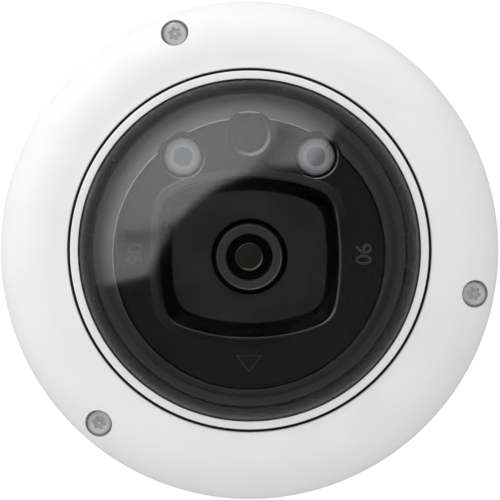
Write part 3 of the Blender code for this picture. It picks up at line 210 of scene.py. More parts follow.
def spark_texture(name, colour, worn, roughness, pitch, depth):
    """A mould face eroded by sparks: close shallow pits of two sizes."""
    f = Finish(name)
    small = f.pits(pitch)
    large = f.pits(2.3 * pitch)
    cloud = f.grain(6, 3.0)
    relief = small * 0.6 + large * 0.4
    return f.solid(
        Base_Color=f.mix(relief.ramp(0.15, 0.5) * 0.85 + cloud * 0.15, colour, worn),
        Roughness=roughness + 0.12 * cloud - 0.1 * relief,
        Normal=f.bump(relief, depth, 0.9),
        IOR=1.5,
    )


def rubber(name, colour, worn):
    f = Finish(name)
    fine = f.grain(0.25, 4.0, 0.65)
    bloom = f.grain(5, 2.0)
    return f.solid(
        Base_Color=f.mix(bloom.ramp(0.4, 0.8) * 0.6, colour, worn),
        Roughness=0.62 + 0.2 * bloom,
        Normal=f.bump(fine, 0.01, 0.7),
    )


def cast_metal(name, colour, dark):
    """Die-cast alloy, blasted: a sandy skin with cloudy darker areas."""
    f = Finish(name)
    sand = f.grain(0.22, 4.0, 0.7)
    cloud = f.grain(11, 3.0)
    pit = f.pits(1.1).ramp(0.0, 0.16)
    return f.solid(
        Base_Color=f.mix(cloud.ramp(0.3, 0.72) * 0.8 + (1 - pit) * 0.2, colour, dark),
        Metallic=0.85 - 0.1 * cloud,
        Roughness=0.42 + 0.14 * cloud + 0.1 * sand,
        Normal=f.bump(sand + 0.7 * pit, 0.02, 0.6),
    )


def turned_metal(name, colour, dark, roughness, metal=0.95):
    """Lathe-turned metal: fine tool rings and a little tarnish."""
    f = Finish(name)
    tool = f.grain(0.12, 2.0, stretch=(0.25, 0.25, 1))
    tarnish = f.grain(2.6, 3.0)
    return f.solid(
        Base_Color=f.mix(tarnish.ramp(0.35, 0.8) * 0.75, colour, dark),
        Metallic=metal - 0.1 * tarnish,
        Roughness=roughness + 0.12 * tarnish + 0.08 * tool,
        Normal=f.bump(tool, 0.004, 0.5),
    )


def satin_steel(name, colour, dark, roughness):
    """Tumbled stainless steel: a dull, fine-grained skin that is darker in its scratches."""
    f = Finish(name)
    skin = f.grain(0.14, 3.0, 0.65)
    scratch = f.grain(0.6, 3.0, stretch=(1, 9, 1)).ramp(0.6, 0.72)
    return f.solid(
        Base_Color=f.mix(scratch * 0.6 + skin * 0.3, colour, dark),
        Metallic=0.32 - 0.1 * scratch,
        Roughness=roughness + 0.1 * skin,
        Normal=f.bump(skin - 0.5 * scratch, 0.006, 0.6),
    )


def coated_steel(name, colour, worn, roughness):
    """Black coated sheet steel, rubbed a little lighter."""
    f = Finish(name)
    skin = f.grain(0.3, 3.0)
    rub = f.grain(4, 4.0, 0.6).ramp(0.55, 0.85)
    return f.solid(
        Base_Color=f.mix(rub, colour, worn),
        Metallic=0.25 + 0.3 * rub,
        Roughness=roughness + 0.1 * skin - 0.06 * rub,
        Normal=f.bump(skin, 0.008, 0.5),
    )


def circuit_board(name, mask, copper, pad):
    """Green solder mask over etched tracks, with vias and a few bare pads."""
    f = Finish(name)
    place = f.node("ShaderNodeSeparateXYZ", {"Vector": f.place})
    across = (place["X"] * 520.0 + f.grain(26, 0.0) * 9.0).maths("SINE")
    along = (place["Y"] * 610.0 + f.grain(21, 0.0) * 8.0).maths("SINE")
    zone = f.grain(9, 0.0).ramp(0.46, 0.5)
    tracks = (across * zone + along * (1 - zone)).ramp(0.15, 0.4)
    via = 1 - f.pits(2.4).ramp(0.1, 0.15)
    return f.solid(
        Base_Color=f.mix(via, f.mix(tracks, mask, copper), pad),
        Metallic=via * 0.8,
        Roughness=0.34 + 0.12 * f.grain(1.2),
        Normal=f.bump(tracks + via, 0.03, 0.8),
        IOR=1.5,
    )


def clear_bubble(name, tint, haze):
    """Optically clear hard-coated plastic: see-through, and more of a mirror the flatter it is seen."""
    f = Finish(name)
    facing = f.node("ShaderNodeLayerWeight", {"Blend": 0.5})["Facing"]
    wipe = f.grain(30, 2.0)
    mirror = 0.066 - 0.047 * facing.ramp(0.43, 0.66) + 0.45 * facing**9.0 + haze * wipe
    clear = f.node("ShaderNodeBsdfTransparent", {"Color": (*tint, 1)})["BSDF"]
    gloss = f.node("ShaderNodeBsdfGlossy", {"Roughness": 0.13, "Color": (1, 1, 1, 1)})["BSDF"]
    mixed = f.node("ShaderNodeMixShader", {"Fac": mirror, 1: clear, 2: gloss})["Shader"]
    return f.surface(mixed)


def coated_lens(name, deep, tint):
    """Dark coated glass: nearly black, with the coating's tint where it is seen flat on."""
    f = Finish(name)
    facing = f.node("ShaderNodeLayerWeight", {"Blend": 0.4})["Facing"]
    dust = f.grain(1.4, 3.0)
    return f.solid(
        Base_Color=f.mix(facing.ramp(0.0, 0.5), tint, deep),
        Roughness=0.03 + 0.04 * dust.ramp(0.6, 0.9),
        Coat_Weight=0.8,
        IOR=1.7,
    )


def frosted_window(name, colour, centre, alpha):
    f = Finish(name)
    frost = f.grain(0.3, 3.0)
    return f.solid(
        Base_Color=f.mix(frost.ramp(0.3, 0.7), colour, centre),
        Roughness=0.16 + 0.1 * frost,
        Normal=f.bump(frost, 0.01, 0.4),
        Alpha=alpha + 0.06 * frost,
        IOR=1.5,
    )


def emitter(name, rim, chip):
    """An infrared emitter's filled package: pale rim, brighter filling with a speck of die."""
    f = Finish(name)
    grain = f.grain(0.5, 2.0)
    return f.solid(
        Base_Color=f.mix(grain.ramp(0.4, 0.6), rim, chip),
        Roughness=0.25 + 0.15 * grain,
        Coat_Weight=0.4,
    )


COAT = powder_coat("white_powder_coat", 0.84, (0.8, 0.8, 0.795), 0.42)
RING_COAT = powder_coat("white_ring_coat", (0.83, 0.835, 0.85), 0.79, 0.34)
RUBBER = rubber("black_rubber", 0.006, (0.014, 0.014, 0.013))
CLEAR = clear_bubble("clear_bubble", (0.97, 0.975, 0.975), 0.012)
BAND = moulded("satin_black_shell", (0.028, 0.028, 0.029), (0.038, 0.038, 0.039), 0.34)
FACE = spark_texture("spark_black_face", (0.002, 0.002, 0.0022), (0.015, 0.015, 0.0155), 0.42, 0.36, 0.12)
EDGE = moulded("polished_black_edge", (0.012, 0.012, 0.0125), (0.018, 0.018, 0.019), 0.22, ior=3.4)
LIP = moulded("polished_black_lip", (0.012, 0.012, 0.0125), (0.018, 0.018, 0.019), 0.34, ior=3.2)
WELL = moulded("satin_black_well", (0.022, 0.022, 0.024), (0.032, 0.032, 0.034), 0.34)
# The well's wall: polished, and painted far darker than the well's floor of the same moulding, as painted
# shade.
SHADED_WALL = moulded("polished_black_wall", 0.0015, 0.003, 0.2)
MARK = moulded("raised_mark", (0.035, 0.035, 0.036), (0.055, 0.055, 0.056), 0.22, ior=2.4)
LENS_METAL = turned_metal("anodised_lens_body", (0.062, 0.062, 0.06), (0.045, 0.045, 0.044), 0.28, metal=0.35)
LENS_TRIM = turned_metal("bright_lens_edge", (0.5, 0.5, 0.51), (0.35, 0.35, 0.36), 0.22)
LENS = coated_lens("coated_lens", 0.002, (0.003, 0.0032, 0.003))
INNER_LENS = coated_lens("inner_lens", (0.012, 0.013, 0.01), (0.02, 0.022, 0.016))
WINDOW = frosted_window("frosted_window", (0.33, 0.33, 0.34), (0.27, 0.27, 0.28), 0.5)
WINDOW_RING = frosted_window("window_ring", (0.45, 0.45, 0.47), (0.38, 0.38, 0.4), 0.56)
WINDOW_MIDDLE = frosted_window("window_middle", (0.25, 0.25, 0.26), (0.2, 0.2, 0.21), 0.46)
WINDOW_RIM = frosted_window("window_rim", 0.1, 0.07, 0.6)
EMITTER = emitter("infrared_emitter", 0.16, (0.26, 0.25, 0.22))
CUP = moulded("reflector_cup", (0.5, 0.5, 0.52), (0.42, 0.42, 0.44), 0.3)
STEEL = satin_steel("stainless_screw", 0.7, (0.5, 0.5, 0.49), 0.36)
BRASS = turned_metal("turned_brass", (0.72, 0.56, 0.28), (0.5, 0.38, 0.2), 0.28)
# The lock ring's brass, painted nearly black: painted shade for the dark gap round the lens front.
GAP_SHADE_BRASS = turned_metal("blackened_brass", (0.03, 0.027, 0.02), (0.05, 0.042, 0.028), 0.4, metal=0.6)
DARK_SCREW = coated_steel("blackened_screw", 0.012, 0.04, 0.36)
CAN = turned_metal("tinned_can", 0.7, 0.5, 0.25)
CAST = cast_metal("cast_housing", (0.56, 0.57, 0.58), (0.4, 0.41, 0.42))
BLACK_STEEL = coated_steel("black_coated_steel", (0.012, 0.012, 0.013), (0.05, 0.05, 0.052), 0.38)
BLACK_PART = moulded("moulded_black", (0.012, 0.012, 0.013), (0.02, 0.02, 0.021), 0.42, 0.3, 0.01)
BOARD = circuit_board("green_board", (0.003, 0.03, 0.012), (0.009, 0.085, 0.034), (0.3, 0.26, 0.14))
CHIP = moulded("moulded_chip", (0.012, 0.012, 0.013), 0.03, 0.5, 0.2, 0.01)
CERAMIC = moulded("ceramic_part", (0.42, 0.3, 0.18), (0.32, 0.22, 0.13), 0.45, 0.15, 0.004)
IVORY = moulded("ivory_plastic", (0.74, 0.68, 0.52), (0.64, 0.58, 0.43), 0.4)


# ---------------------------------------------------------------- geometry trees
def new_tree(name, inputs):
    """A geometry tree with its named inputs: its graph, its input node and its inputs' identifiers."""
    tree = bpy.data.node_groups.new(name, "GeometryNodeTree")
    tree.interface.new_socket("Geometry", in_out="INPUT", socket_type="NodeSocketGeometry")
    identifiers = {}
    for label, kind in inputs.items():
        identifiers[label] = tree.interface.new_socket(label, in_out="INPUT", socket_type=kind).identifier
    tree.interface.new_socket("Geometry", in_out="OUTPUT", socket_type="NodeSocketGeometry")
    graph = Graph(tree)
    return graph, graph.node("NodeGroupInput"), identifiers


def close_tree(graph, geometry, material):
    """Realizes what the tree made and gives it its finish."""
    real = graph.node("GeometryNodeRealizeInstances", {"Geometry": geometry})["Geometry"]
    dressing = {"Geometry": real, "Material": material}
    dressed = graph.node("GeometryNodeSetMaterial", dressing)["Geometry"]
    graph.node("NodeGroupOutput", {"Geometry": dressed})


TURNING_PATH = 10.0


def turning_tree():
    """Sweeps the object's own outline round a circle, as on a lathe."""
    kinds = {"Facets": "NodeSocketInt", "Finish": "NodeSocketMaterial"}
    graph, given, identifiers = new_tree("turning", kinds)
    outline = graph.node("GeometryNodeMeshToCurve", {"Mesh": given["Geometry"]})["Curve"]
    sizes = {"Resolution": given["Facets"], "Radius": TURNING_PATH * MM}
    path = graph.node("GeometryNodeCurvePrimitiveCircle", sizes)["Curve"]
    swept = graph.node("GeometryNodeCurveToMesh", {"Curve": path, "Profile Curve": outline})["Mesh"]
    poles = {"Geometry": swept, "Distance": 0.0005 * MM}
    closed = graph.node("GeometryNodeMergeByDistance", poles)["Geometry"]
    close_tree(graph, closed, given["Finish"])
    return graph.tree, identifiers


def stand_round(graph, given, radius, angle, **scale):
    """Copies of the object's own mesh round a circle, each turned to face outwards, as the tree's result."""
    where = {"X": radius * angle.maths("COSINE"), "Y": radius * angle.maths("SINE"), "Z": given["Height"]}
    position = graph.node("ShaderNodeCombineXYZ", where)["Vector"]
    places = {"Count": given["Count"], "Position": position}
    points = graph.node("GeometryNodePoints", places)["Geometry"]
    turn = graph.node("ShaderNodeCombineXYZ", {"Z": angle})["Vector"]
    stands = {"Points": points, "Instance": given["Geometry"], "Rotation": turn, **scale}
    copies = graph.node("GeometryNodeInstanceOnPoints", stands)["Instances"]
    close_tree(graph, copies, given["Finish"])


def ring_tree():
    """Evenly spaced copies on one circle."""
    kinds = {
        "Count": "NodeSocketInt", "Radius": "NodeSocketFloat", "First Angle": "NodeSocketFloat",
        "Height": "NodeSocketFloat", "Finish": "NodeSocketMaterial",
    }
    graph, given, identifiers = new_tree("ring_of_pieces", kinds)
    index = graph.node("GeometryNodeInputIndex")["Index"]
    angle = given["First Angle"] + index * (2 * math.pi) / given["Count"]
    stand_round(graph, given, given["Radius"], angle)
    return graph.tree, identifiers


def parts_tree():
    """Small block-shaped parts set out round a board, square to its radius, each with its own size."""
    kinds = {
        "Count": "NodeSocketInt", "Inner Radius": "NodeSocketFloat", "Outer Radius": "NodeSocketFloat",
        "Smallest": "NodeSocketFloat", "Largest": "NodeSocketFloat", "Height": "NodeSocketFloat",
        "Seed": "NodeSocketInt", "Finish": "NodeSocketMaterial",
    }
    graph, given, identifiers = new_tree("board_parts", kinds)
    index = graph.node("GeometryNodeInputIndex")["Index"]

    def chance(low, high, salt):
        values = {2: low, 3: high, "ID": index, "Seed": given["Seed"] + salt}
        made = graph.node("FunctionNodeRandomValue", values, data_type="FLOAT")
        return Value(graph, made.node.outputs[1])

    angle = (index + chance(-0.3, 0.3, 1)) * (2 * math.pi) / given["Count"]
    radius = chance(given["Inner Radius"], given["Outer Radius"], 2)
    length = chance(given["Smallest"], given["Largest"], 3)
    sides = {"X": length, "Y": length * chance(0.45, 0.9, 4), "Z": length * 0.45}
    size = graph.node("ShaderNodeCombineXYZ", sides)["Vector"]
    stand_round(graph, given, radius, angle, Scale=size)
    return graph.tree, identifiers


TURNING = turning_tree()
RING = ring_tree()
PARTS = parts_tree()


def run_tree(obj, tree, values):
    """Runs a geometry tree on an object, and keeps the result as its plain mesh."""
    group, identifiers = tree
    modifier = obj.modifiers.new("tree", "NODES")
    modifier.node_group = group
    for label, value in values.items():
        modifier[identifiers[label]] = value
    return settle(obj)


# ---------------------------------------------------------------- mesh tools
def settle(obj):
    """Applies an object's modifiers: what they make becomes its mesh."""
    bpy.context.view_layer.update()
    ready = obj.evaluated_get(bpy.context.evaluated_depsgraph_get())
    mesh = bpy.data.meshes.new_from_object(ready)
    obj.modifiers.clear()
    old = obj.data
    obj.data = mesh
    bpy.data.meshes.remove(old)
    mesh.name = obj.name
    return obj


def smooth(obj, angle=30.0):
    obj.data.shade_smooth()
    obj.data.set_sharp_from_angle(angle=math.radians(angle))
    return obj


def link(name, mesh):
    obj = bpy.data.objects.new(name, mesh)
    bpy.context.scene.collection.objects.link(obj)
    return obj


def from_bmesh(bm, name, material, outward=True):
    bmesh.ops.remove_doubles(bm, verts=bm.verts, dist=1e-7)
    if outward:
        bmesh.ops.recalc_face_normals(bm, faces=bm.faces)
    mesh = bpy.data.meshes.new(name)
    bm.to_mesh(mesh)
    bm.free()
    obj = link(name, mesh)
    if material:
        mesh.materials.append(material)
    return smooth(obj)


def arc(centre_r, centre_z, radius, start, end, steps):
    turn = [math.radians(start + (end - start) * i / steps) for i in range(steps + 1)]
    return [(centre_r + radius * math.cos(a), centre_z + radius * math.sin(a)) for a in turn]


def fillet(points, radius, steps=4, closed=True):
    """Rounds the corners of an outline. Flat joints and points on the axis stay."""
    rounded = []
    count = len(points)
    for i, point in enumerate(points):
        here = Vector(point)
        ends = not closed and i in (0, count - 1)
        before = Vector(points[i - 1]) - here
        after = Vector(points[(i + 1) % count]) - here
        if ends or point[0] == 0 or before.length < 1e-6 or after.length < 1e-6:
            rounded.append(point)
            continue
        opening = before.angle(after)
        if opening > math.radians(158):
            rounded.append(point)
            continue
        back = min(radius / math.tan(opening / 2), 0.45 * before.length, 0.45 * after.length)
        first = here + before.normalized() * back
        last = here + after.normalized() * back
        for s in range(steps + 1):
            t = s / steps
            bend = first * (1 - t) ** 2 + here * (2 * t * (1 - t)) + last * t**2
            rounded.append((bend.x, bend.y))
    return rounded


def turned(name, outline, material, facets=FINE_FACETS, edge=0.0):
    """A piece turned from an outline of (r, z) points, its corners rounded by edge."""
    on_axis = outline[0][0] == 0 and outline[-1][0] == 0
    points = fillet(outline, edge, closed=not on_axis) if edge else list(outline)
    mesh = bpy.data.meshes.new(name)
    verts = [((r - TURNING_PATH) * MM, -z * MM, 0) for r, z in points]
    edges = [(i, i + 1) for i in range(len(points) - 1)]
    if not on_axis:
        edges.append((len(points) - 1, 0))
    mesh.from_pydata(verts, edges, [])
    obj = link(name, mesh)
    run_tree(obj, TURNING, {"Facets": facets, "Finish": material})
    bm = bmesh.new()
    bm.from_mesh(obj.data)
    bmesh.ops.recalc_face_normals(bm, faces=bm.faces)
    bm.to_mesh(obj.data)
    bm.free()
    return smooth(obj)


def prism(name, outline, low, high, material=None, edge=0.0):
    """An outline of (x, y) points drawn up from low to high, its sharp edges rounded by edge."""
    bm = bmesh.new()
    base = bm.faces.new([bm.verts.new((x * MM, y * MM, low * MM)) for x, y in outline])
    grown = bmesh.ops.extrude_face_region(bm, geom=[base])
    top = [v for v in grown["geom"] if isinstance(v, bmesh.types.BMVert)]
    bmesh.ops.translate(bm, verts=top, vec=(0, 0, (high - low) * MM))
    if edge:
        bmesh.ops.recalc_face_normals(bm, faces=bm.faces)
        sharp = [e for e in bm.edges if e.calc_face_angle(0) > math.radians(28)]
        shape = {"offset": edge * MM, "segments": 3, "profile": 0.5, "affect": "EDGES", "clamp_overlap": True}
        bmesh.ops.bevel(bm, geom=sharp, **shape)
    return from_bmesh(bm, name, material)


def rectangle(width, depth, at=(0.0, 0.0)):
    x, y = at
    return [
        (x - width / 2, y - depth / 2), (x + width / 2, y - depth / 2),
        (x + width / 2, y + depth / 2), (x - width / 2, y + depth / 2),
    ]


def section(inner, outer, low, top):
    """The cross-section of a plain ring, or of a disc when inner is 0."""
    return [(inner, low), (outer, low), (outer, top), (inner, top)]


def polar(radius, angle):
    return (radius * math.cos(angle), radius * math.sin(angle))


def on_circle(radius, angles):
    return [polar(radius, math.radians(angle)) for angle in angles]


def pins(name, places, radius, low, high, steps=ROUND_FACETS):
    """Upright round pins, one at each place."""
    bm = bmesh.new()
    for x, y in places:
        middle = Matrix.Translation(Vector((x, y, (low + high) / 2)) * MM)
        shape = {"radius1": radius * MM, "radius2": radius * MM, "depth": (high - low) * MM, "matrix": middle}
        bmesh.ops.create_cone(bm, cap_ends=True, segments=steps, **shape)
    return from_bmesh(bm, name, None)


def arc_reach(along, across, half, radius):
    centre = half - radius
    return centre * along + math.sqrt(radius**2 - (centre * across) ** 2)


def barrel(half_x, half_y, steps=160):
    """A barrel-sided rectangle: four arcs, blended at the corners."""
    corner = 16.0
    points = []
    for i in range(steps):
        c, s = polar(1.0, 2 * math.pi * i / steps)
        to_side = arc_reach(abs(c), abs(s), half_x, 3.3 * half_x)
        to_top = arc_reach(abs(s), abs(c), half_y, 2.6 * half_y)
        reach = (to_side**-corner + to_top**-corner) ** (-1 / corner)
        points.append((c * reach, s * reach))
    return points


def combine(obj, tool, operation="DIFFERENCE"):
    """One Boolean, applied, after which its tool is gone."""
    modifier = obj.modifiers.new("combine", "BOOLEAN")
    modifier.operation = operation
    modifier.solver = "EXACT"
    modifier.object = tool
    settle(obj)
    bpy.data.objects.remove(tool, do_unlink=True)
    return obj


def drill(obj, places, radius, low, high, steps=ROUND_FACETS):
    return combine(obj, pins("bores", places, radius, low, high, steps=steps))


def lay_along(obj, direction, at):
    """Turns a piece made along Z so that it points along direction, from at."""
    turn = Vector((0, 0, 1)).rotation_difference(Vector(direction)).to_matrix().to_4x4()
    obj.data.transform(Matrix.Translation(Vector(at) * MM) @ turn)
    return obj


def spun(obj, degrees, axis="Z"):
    obj.data.transform(Matrix.Rotation(math.radians(degrees), 4, axis))
    return obj


def shifted(obj, x=0.0, y=0.0, z=0.0):
    obj.data.transform(Matrix.Translation(Vector((x, y, z)) * MM))
    return obj


def one_finish(obj, material):
    obj.data.materials.clear()
    obj.data.materials.append(material)
    for polygon in obj.data.polygons:
        polygon.material_index = 0
    return obj


def polish(obj, material, chosen):
    """Gives another finish to the faces for which chosen(centre, normal) holds."""
    obj.data.materials.append(material)
    place = len(obj.data.materials) - 1
    for polygon in obj.data.polygons:
        if chosen(polygon.center / MM, polygon.normal):
            polygon.material_index = place
    return obj


def away_from(point, place=(0, 0)):
    return math.hypot(point.x - place[0], point.y - place[1])


def joined(name, pieces):
    """Several meshes as one piece that keeps their finishes."""
    bm = bmesh.new()
    finishes = []
    for piece in pieces:
        start = len(bm.faces)
        bm.from_mesh(piece.data)
        bm.faces.ensure_lookup_table()
        places = []
        for material in piece.data.materials:
            if material not in finishes:
                finishes.append(material)
            places.append(finishes.index(material))
        for face in bm.faces[start:]:
            face.material_index = places[face.material_index] if places else 0
    mesh = bpy.data.meshes.new(name)
    bm.to_mesh(mesh)
    bm.free()
    for piece in pieces:
        bpy.data.objects.remove(piece, do_unlink=True)
    for material in finishes:
        mesh.materials.append(material)
    return smooth(link(name, mesh))


def fit(obj, body, slot, *nodes, at=UPRIGHT, finish=None):
    """Puts a piece in its place, on its body, for the CAD nodes it stands for."""
    if finish:
        smooth(one_finish(obj, finish))
    obj.data.transform(at)
    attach(obj, body)
    if nodes:
        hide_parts(*nodes)
    return obj


def fit_ball(obj, slot, *nodes, finish=None):
    """Fits a piece of the camera ball, made with its heights counted from the pivot along the lens."""
    return fit(obj, "camera_head", slot, *nodes, at=BALL, finish=finish)


def ring_of(obj, count, radius, first_angle, height, finish):
    """Count copies of a piece, evenly spaced round the dome's axis."""
    around = {"Count": count, "Radius": radius * MM, "First Angle": math.radians(first_angle)}
    return run_tree(obj, RING, around | {"Height": height * MM, "Finish": finish})


def sweep_radius(z):
    """The radius of the space that the ball sweeps, at height z."""
    return math.sqrt(max(SWEPT_R**2 - (PIVOT_Z - z) ** 2, 0.0))


# ---------------------------------------------------------------- cover
def shoulder(outer_r, low_z, top_z, start_r):
    """A quarter of a slightly squared ellipse, from the wall up to the face."""
    steps, power = 36, 2 / 2.3
    turn = [math.radians(90.0 * i / steps) for i in range(steps + 1)]
    rise, run = top_z - low_z, outer_r - start_r
    return [(start_r + run * math.cos(a) ** power, low_z + rise * math.sin(a) ** power) for a in turn]


def make_cover():
    outer, inner, opening, start = 61.0, 58.3, 43.4, 45.4
    foot, wall_top, face_z, under_z = 0.8, 34, 52, 50
    rib_in, rib_out, rib_foot = 49.1, 51.9, 22.6
    outside = [(60.4, foot), (60.9, foot + 0.5)] + shoulder(outer, wall_top, face_z, start)
    lip = [(45, face_z), (opening, face_z), (opening, under_z), (45, under_z)]
    rib = [(rib_in, under_z), (rib_in, rib_foot), (rib_out, rib_foot)]
    inside = [p for p in reversed(shoulder(inner, wall_top, under_z, start)) if p[0] > rib_out + 1]
    outline = outside + fillet(lip, 0.45, 5, False) + rib + [(rib_out, inside[0][1] + 0.4)] + inside
    cover = turned("housing_cover", outline + [(inner, foot)], COAT, 192)
    screws = on_circle(COVER_SCREW_R, COVER_SCREWS)
    small = on_circle(CLAMP_SCREW_R, CLAMP_SCREWS)
    bosses = pins("bosses", screws, 4.4, 22.9, 53)
    core_r, core_z = 59.65, 50.65
    core = [(0, rib_foot), (core_r, rib_foot)] + shoulder(core_r, wall_top, core_z, start) + [(0, core_z)]
    combine(bosses, turned("core", core, COAT, 96), "INTERSECT")
    combine(cover, bosses, "UNION")
    floor_z, notch_r = 43.05, 8.6
    drill(cover, screws, 3.35, floor_z, 57)
    drill(cover, screws, 1.8, 21, floor_z + 1)
    combine(cover, pins("clamp_bosses", small, 2.3, 45.8, 50.5), "UNION")
    drill(cover, small, 1.15, 44, 49.2)
    outline = [(-notch_r, -21), (notch_r, -21)]
    outline += [polar(notch_r, math.pi * i / 32) for i in range(33)]
    combine(cover, shifted(spun(prism("notch", outline, 53.9, 64), 90, "X"), z=CONDUIT_Z))
    one_finish(cover, COAT)
    fit(smooth(cover, 28), "cover", "white_paint", "cover_shell")


def make_bubble():
    radius, wall, centre = 40.8, 2.2, DOME_Z
    inside = arc(0, centre, radius - wall, 90, 0, 56)
    outside = arc(0, centre, radius, 0, 90, 56)
    inside[0] = (0, centre + radius - wall)
    outside[-1] = (0, centre + radius)
    skirt = [(radius - wall, 45.8), (44.2, 45.8), (44.2, 47.6), (radius, 47.6)]
    bubble = turned("bubble", inside + skirt + outside, CLEAR, 192)
    fit(bubble, "cover", "clear_dome", "dome_bubble")


def make_trim():
    outer, flange_r, bore_r, low, top, corner = 42.6, 44.2, 41.1, 49.1, 53.9, 0.45
    bore = []
    for i in range(13):
        z = top - 0.12 - (top - DOME_Z) * i / 12
        bore.append((math.sqrt(bore_r**2 - max(z - DOME_Z, 0.0) ** 2), z))
    flange = [(bore_r, 47.9), (flange_r, 47.9), (flange_r, low)]
    crown = [(outer, low)] + arc(outer - corner, top - corner, corner, 0, 78, 6)
    ring = turned("trim_ring", crown + [(bore[0][0] + 0.1, top)] + bore + flange, RING_COAT, 192)
    fit(ring, "cover", "white_paint", "dome_trim_ring")
    lip_in, lip_out, rise = 42.7, 43.3, 51.3
    foot = [(lip_in, 49.2), (flange_r, 49.2), (flange_r, 49.9), (lip_out, 49.9)]
    seal = turned("bubble_seal", foot + [(lip_out, rise), (lip_in, rise)], RUBBER, 160, 0.12)
    fit(seal, "cover", "black_rubber", "dome_gasket")


def make_clamp():
    low, top = 44.0, 45.5
    ring = turned("clamp_ring", section(41.6, 48.8, low, top), BLACK_STEEL, 128, 0.25)
    drill(ring, on_circle(CLAMP_SCREW_R, CLAMP_SCREWS), 1.15, low - 1, top + 1, 32)
    fit(ring, "cover", "black_steel", "dome_clamp_ring", finish=BLACK_STEEL)
    screw = spun(pan_screw("clamp_screws", 1.8, 1.5, 0.85, 5.2, cross=True), 180, "X")
    ring_of(screw, 3, CLAMP_SCREW_R, CLAMP_SCREWS[0], low - 0.3, STEEL)
    fit(smooth(screw), "cover", "steel", "clamp_screw_1", "clamp_screw_2", "clamp_screw_3")


def pan_screw(name, head_r, head_h, shank_r, shank_l, cross=False, slot=False):
    """A pan-head screw on Z = 0 at the head's underside, with thread grooves and its drive."""
    pitch = 0.5
    shank = [(0, -shank_l), (0.75 * shank_r, -shank_l)]
    z = -shank_l + 0.3
    while z < -pitch:
        shank += [(shank_r, z), (0.82 * shank_r, z + pitch / 2)]
        z += pitch
    shank += [(shank_r, -0.2), (shank_r, 0)]
    crown = [(head_r, 0)]
    for i in range(9):
        a = math.radians(90 * i / 8)
        crown.append((0.72 * head_r + 0.28 * head_r * math.cos(a), 0.4 * head_h + 0.6 * head_h * math.sin(a)))
    screw = turned(name, shank + crown + [(0, head_h)], STEEL, 32)
    if cross:
        for angle in (0, 90):
            blade = prism("blade", rectangle(1.15 * head_r, 0.3 * head_r), 0.35 * head_h, head_h + 1)
            combine(screw, spun(blade, angle + 20))
    if slot:
        combine(screw, prism("blade", rectangle(1.4 * head_r, 0.8), head_h - 0.6, head_h + 1))
    return smooth(one_finish(screw, STEEL))


def make_cover_screws():
    head_r, head_h, shank, corner = 2.85, 2.2, 35.7, 0.7
    outline = [(0, -shank), (1.1, -shank), (1.5, -shank + 0.5), (1.5, 0), (head_r, 0), (head_r, 1.35)]
    outline += arc(head_r - corner, head_h - corner, corner, 0, 90, 10)[1:]
    screw = turned("cover_screws", outline + [(0, head_h)], STEEL, 64)
    star = []
    for i in range(96):
        a = 2 * math.pi * i / 96
        star.append(polar(1.42 + 0.24 * math.cos(6 * a), a))
    combine(screw, prism("drive", star, head_h - 1.05, head_h + 1))
    pin = turned("pin", [(0, 0.9), (0.45, 0.9), (0.45, 1.85), (0.3, 2.0), (0, 2.04)], STEEL, 24)
    combine(screw, pin, "UNION")
    ring_of(one_finish(screw, STEEL), 3, COVER_SCREW_R, COVER_SCREWS[0], 43.2, STEEL)
    fit(smooth(screw), "cover", "steel", "cover_screw_1", "cover_screw_2", "cover_screw_3")


# ---------------------------------------------------------------- camera ball
LED_PLACES = [(-15.6, 22.9), (15.6, 22.9)]
DIMPLE = (0.0, 28.0)
FACE_H = 19.0
BALL_R = 37.6


def make_band():
    seat, seat_h, ledge_low, inner = 31.75, 17.4, 16.1, BALL_R - 1.8

    def angle_at(height, radius):
        return math.degrees(math.asin(height / radius))

    brow = [(32.1, 19.58), (31.96, 19.74), (31.84, 19.8), (31.75, 19.62)]
    outside = arc(0, 0, BALL_R, angle_at(5, BALL_R), angle_at(19.5, BALL_R), 40)
    outside += brow
    ledge = [(seat, seat_h), (seat - 3.8, seat_h), (seat - 3.8, ledge_low)]
    inside = arc(0, 0, inner, angle_at(ledge_low, inner), angle_at(5, inner), 24)
    band = turned("ball_shell_band", outside + ledge + inside, BAND, 192)
    places = LED_PLACES + [DIMPLE]
    one_finish(drill(band, places, 5.9, 14.3, 40), BAND)
    polish(band, EDGE, lambda centre, normal: normal.z > 0.3 and away_from(centre) < 32.2)
    fit_ball(smooth(band), "black_plastic", "ball_shell")


def soft_recess(name, place, radius, depth, flare):
    """A round recess as a tool: its wall leans out by flare, with a rounded foot and brow."""
    floor = FACE_H - depth
    outline = [(0, floor), (radius - flare, floor)]
    for i in range(1, 9):
        share = i / 8
        outline.append((radius - flare + flare * share, floor + depth * (3 * share**2 - 2 * share**3)))
    outline += [(radius + 0.02, FACE_H + 2), (0, FACE_H + 2)]
    return shifted(turned(name, outline, FACE, 96), *place)


def make_face():
    edge, radius = 0.45, 31.6
    rim = arc(radius - edge, FACE_H - edge, edge, 0, 90, 6)
    face = turned("face", [(0, 17.7), (radius, 17.7)] + rim + [(0, FACE_H)], FACE, 192)
    places = LED_PLACES + [DIMPLE]
    lobes = pins("lobes", places, 5.7, 14.6, FACE_H - 0.02)
    limit = arc(0, 0, BALL_R + 0.6, -90, 90, 64)
    limit[0], limit[-1] = (0, -BALL_R - 0.6), (0, BALL_R + 0.6)
    combine(lobes, turned("limit", limit, FACE, 128), "INTERSECT")
    combine(face, lobes, "UNION")
    drill(face, LED_PLACES, 4.95, 13, 20)
    for place in LED_PLACES:
        combine(face, soft_recess("brow", place, 5.4, 0.3, 0.45))
    combine(face, soft_recess("dimple", DIMPLE, 5.1, 0.6, 1.0))
    window = prism("window", barrel(22.5, 20.2), 13, 20)
    combine(face, shifted(window, y=LENS_Y))
    one_finish(face, FACE)

    def on_edge(centre, normal):
        sloping = 0.15 < normal.z < 0.985
        near_place = min(away_from(centre, place) for place in places) < 5.3
        return sloping and (near_place or away_from(centre) > radius - edge)

    polish(face, EDGE, on_edge)
    fit_ball(smooth(face), "textured_plastic", "face_plate")


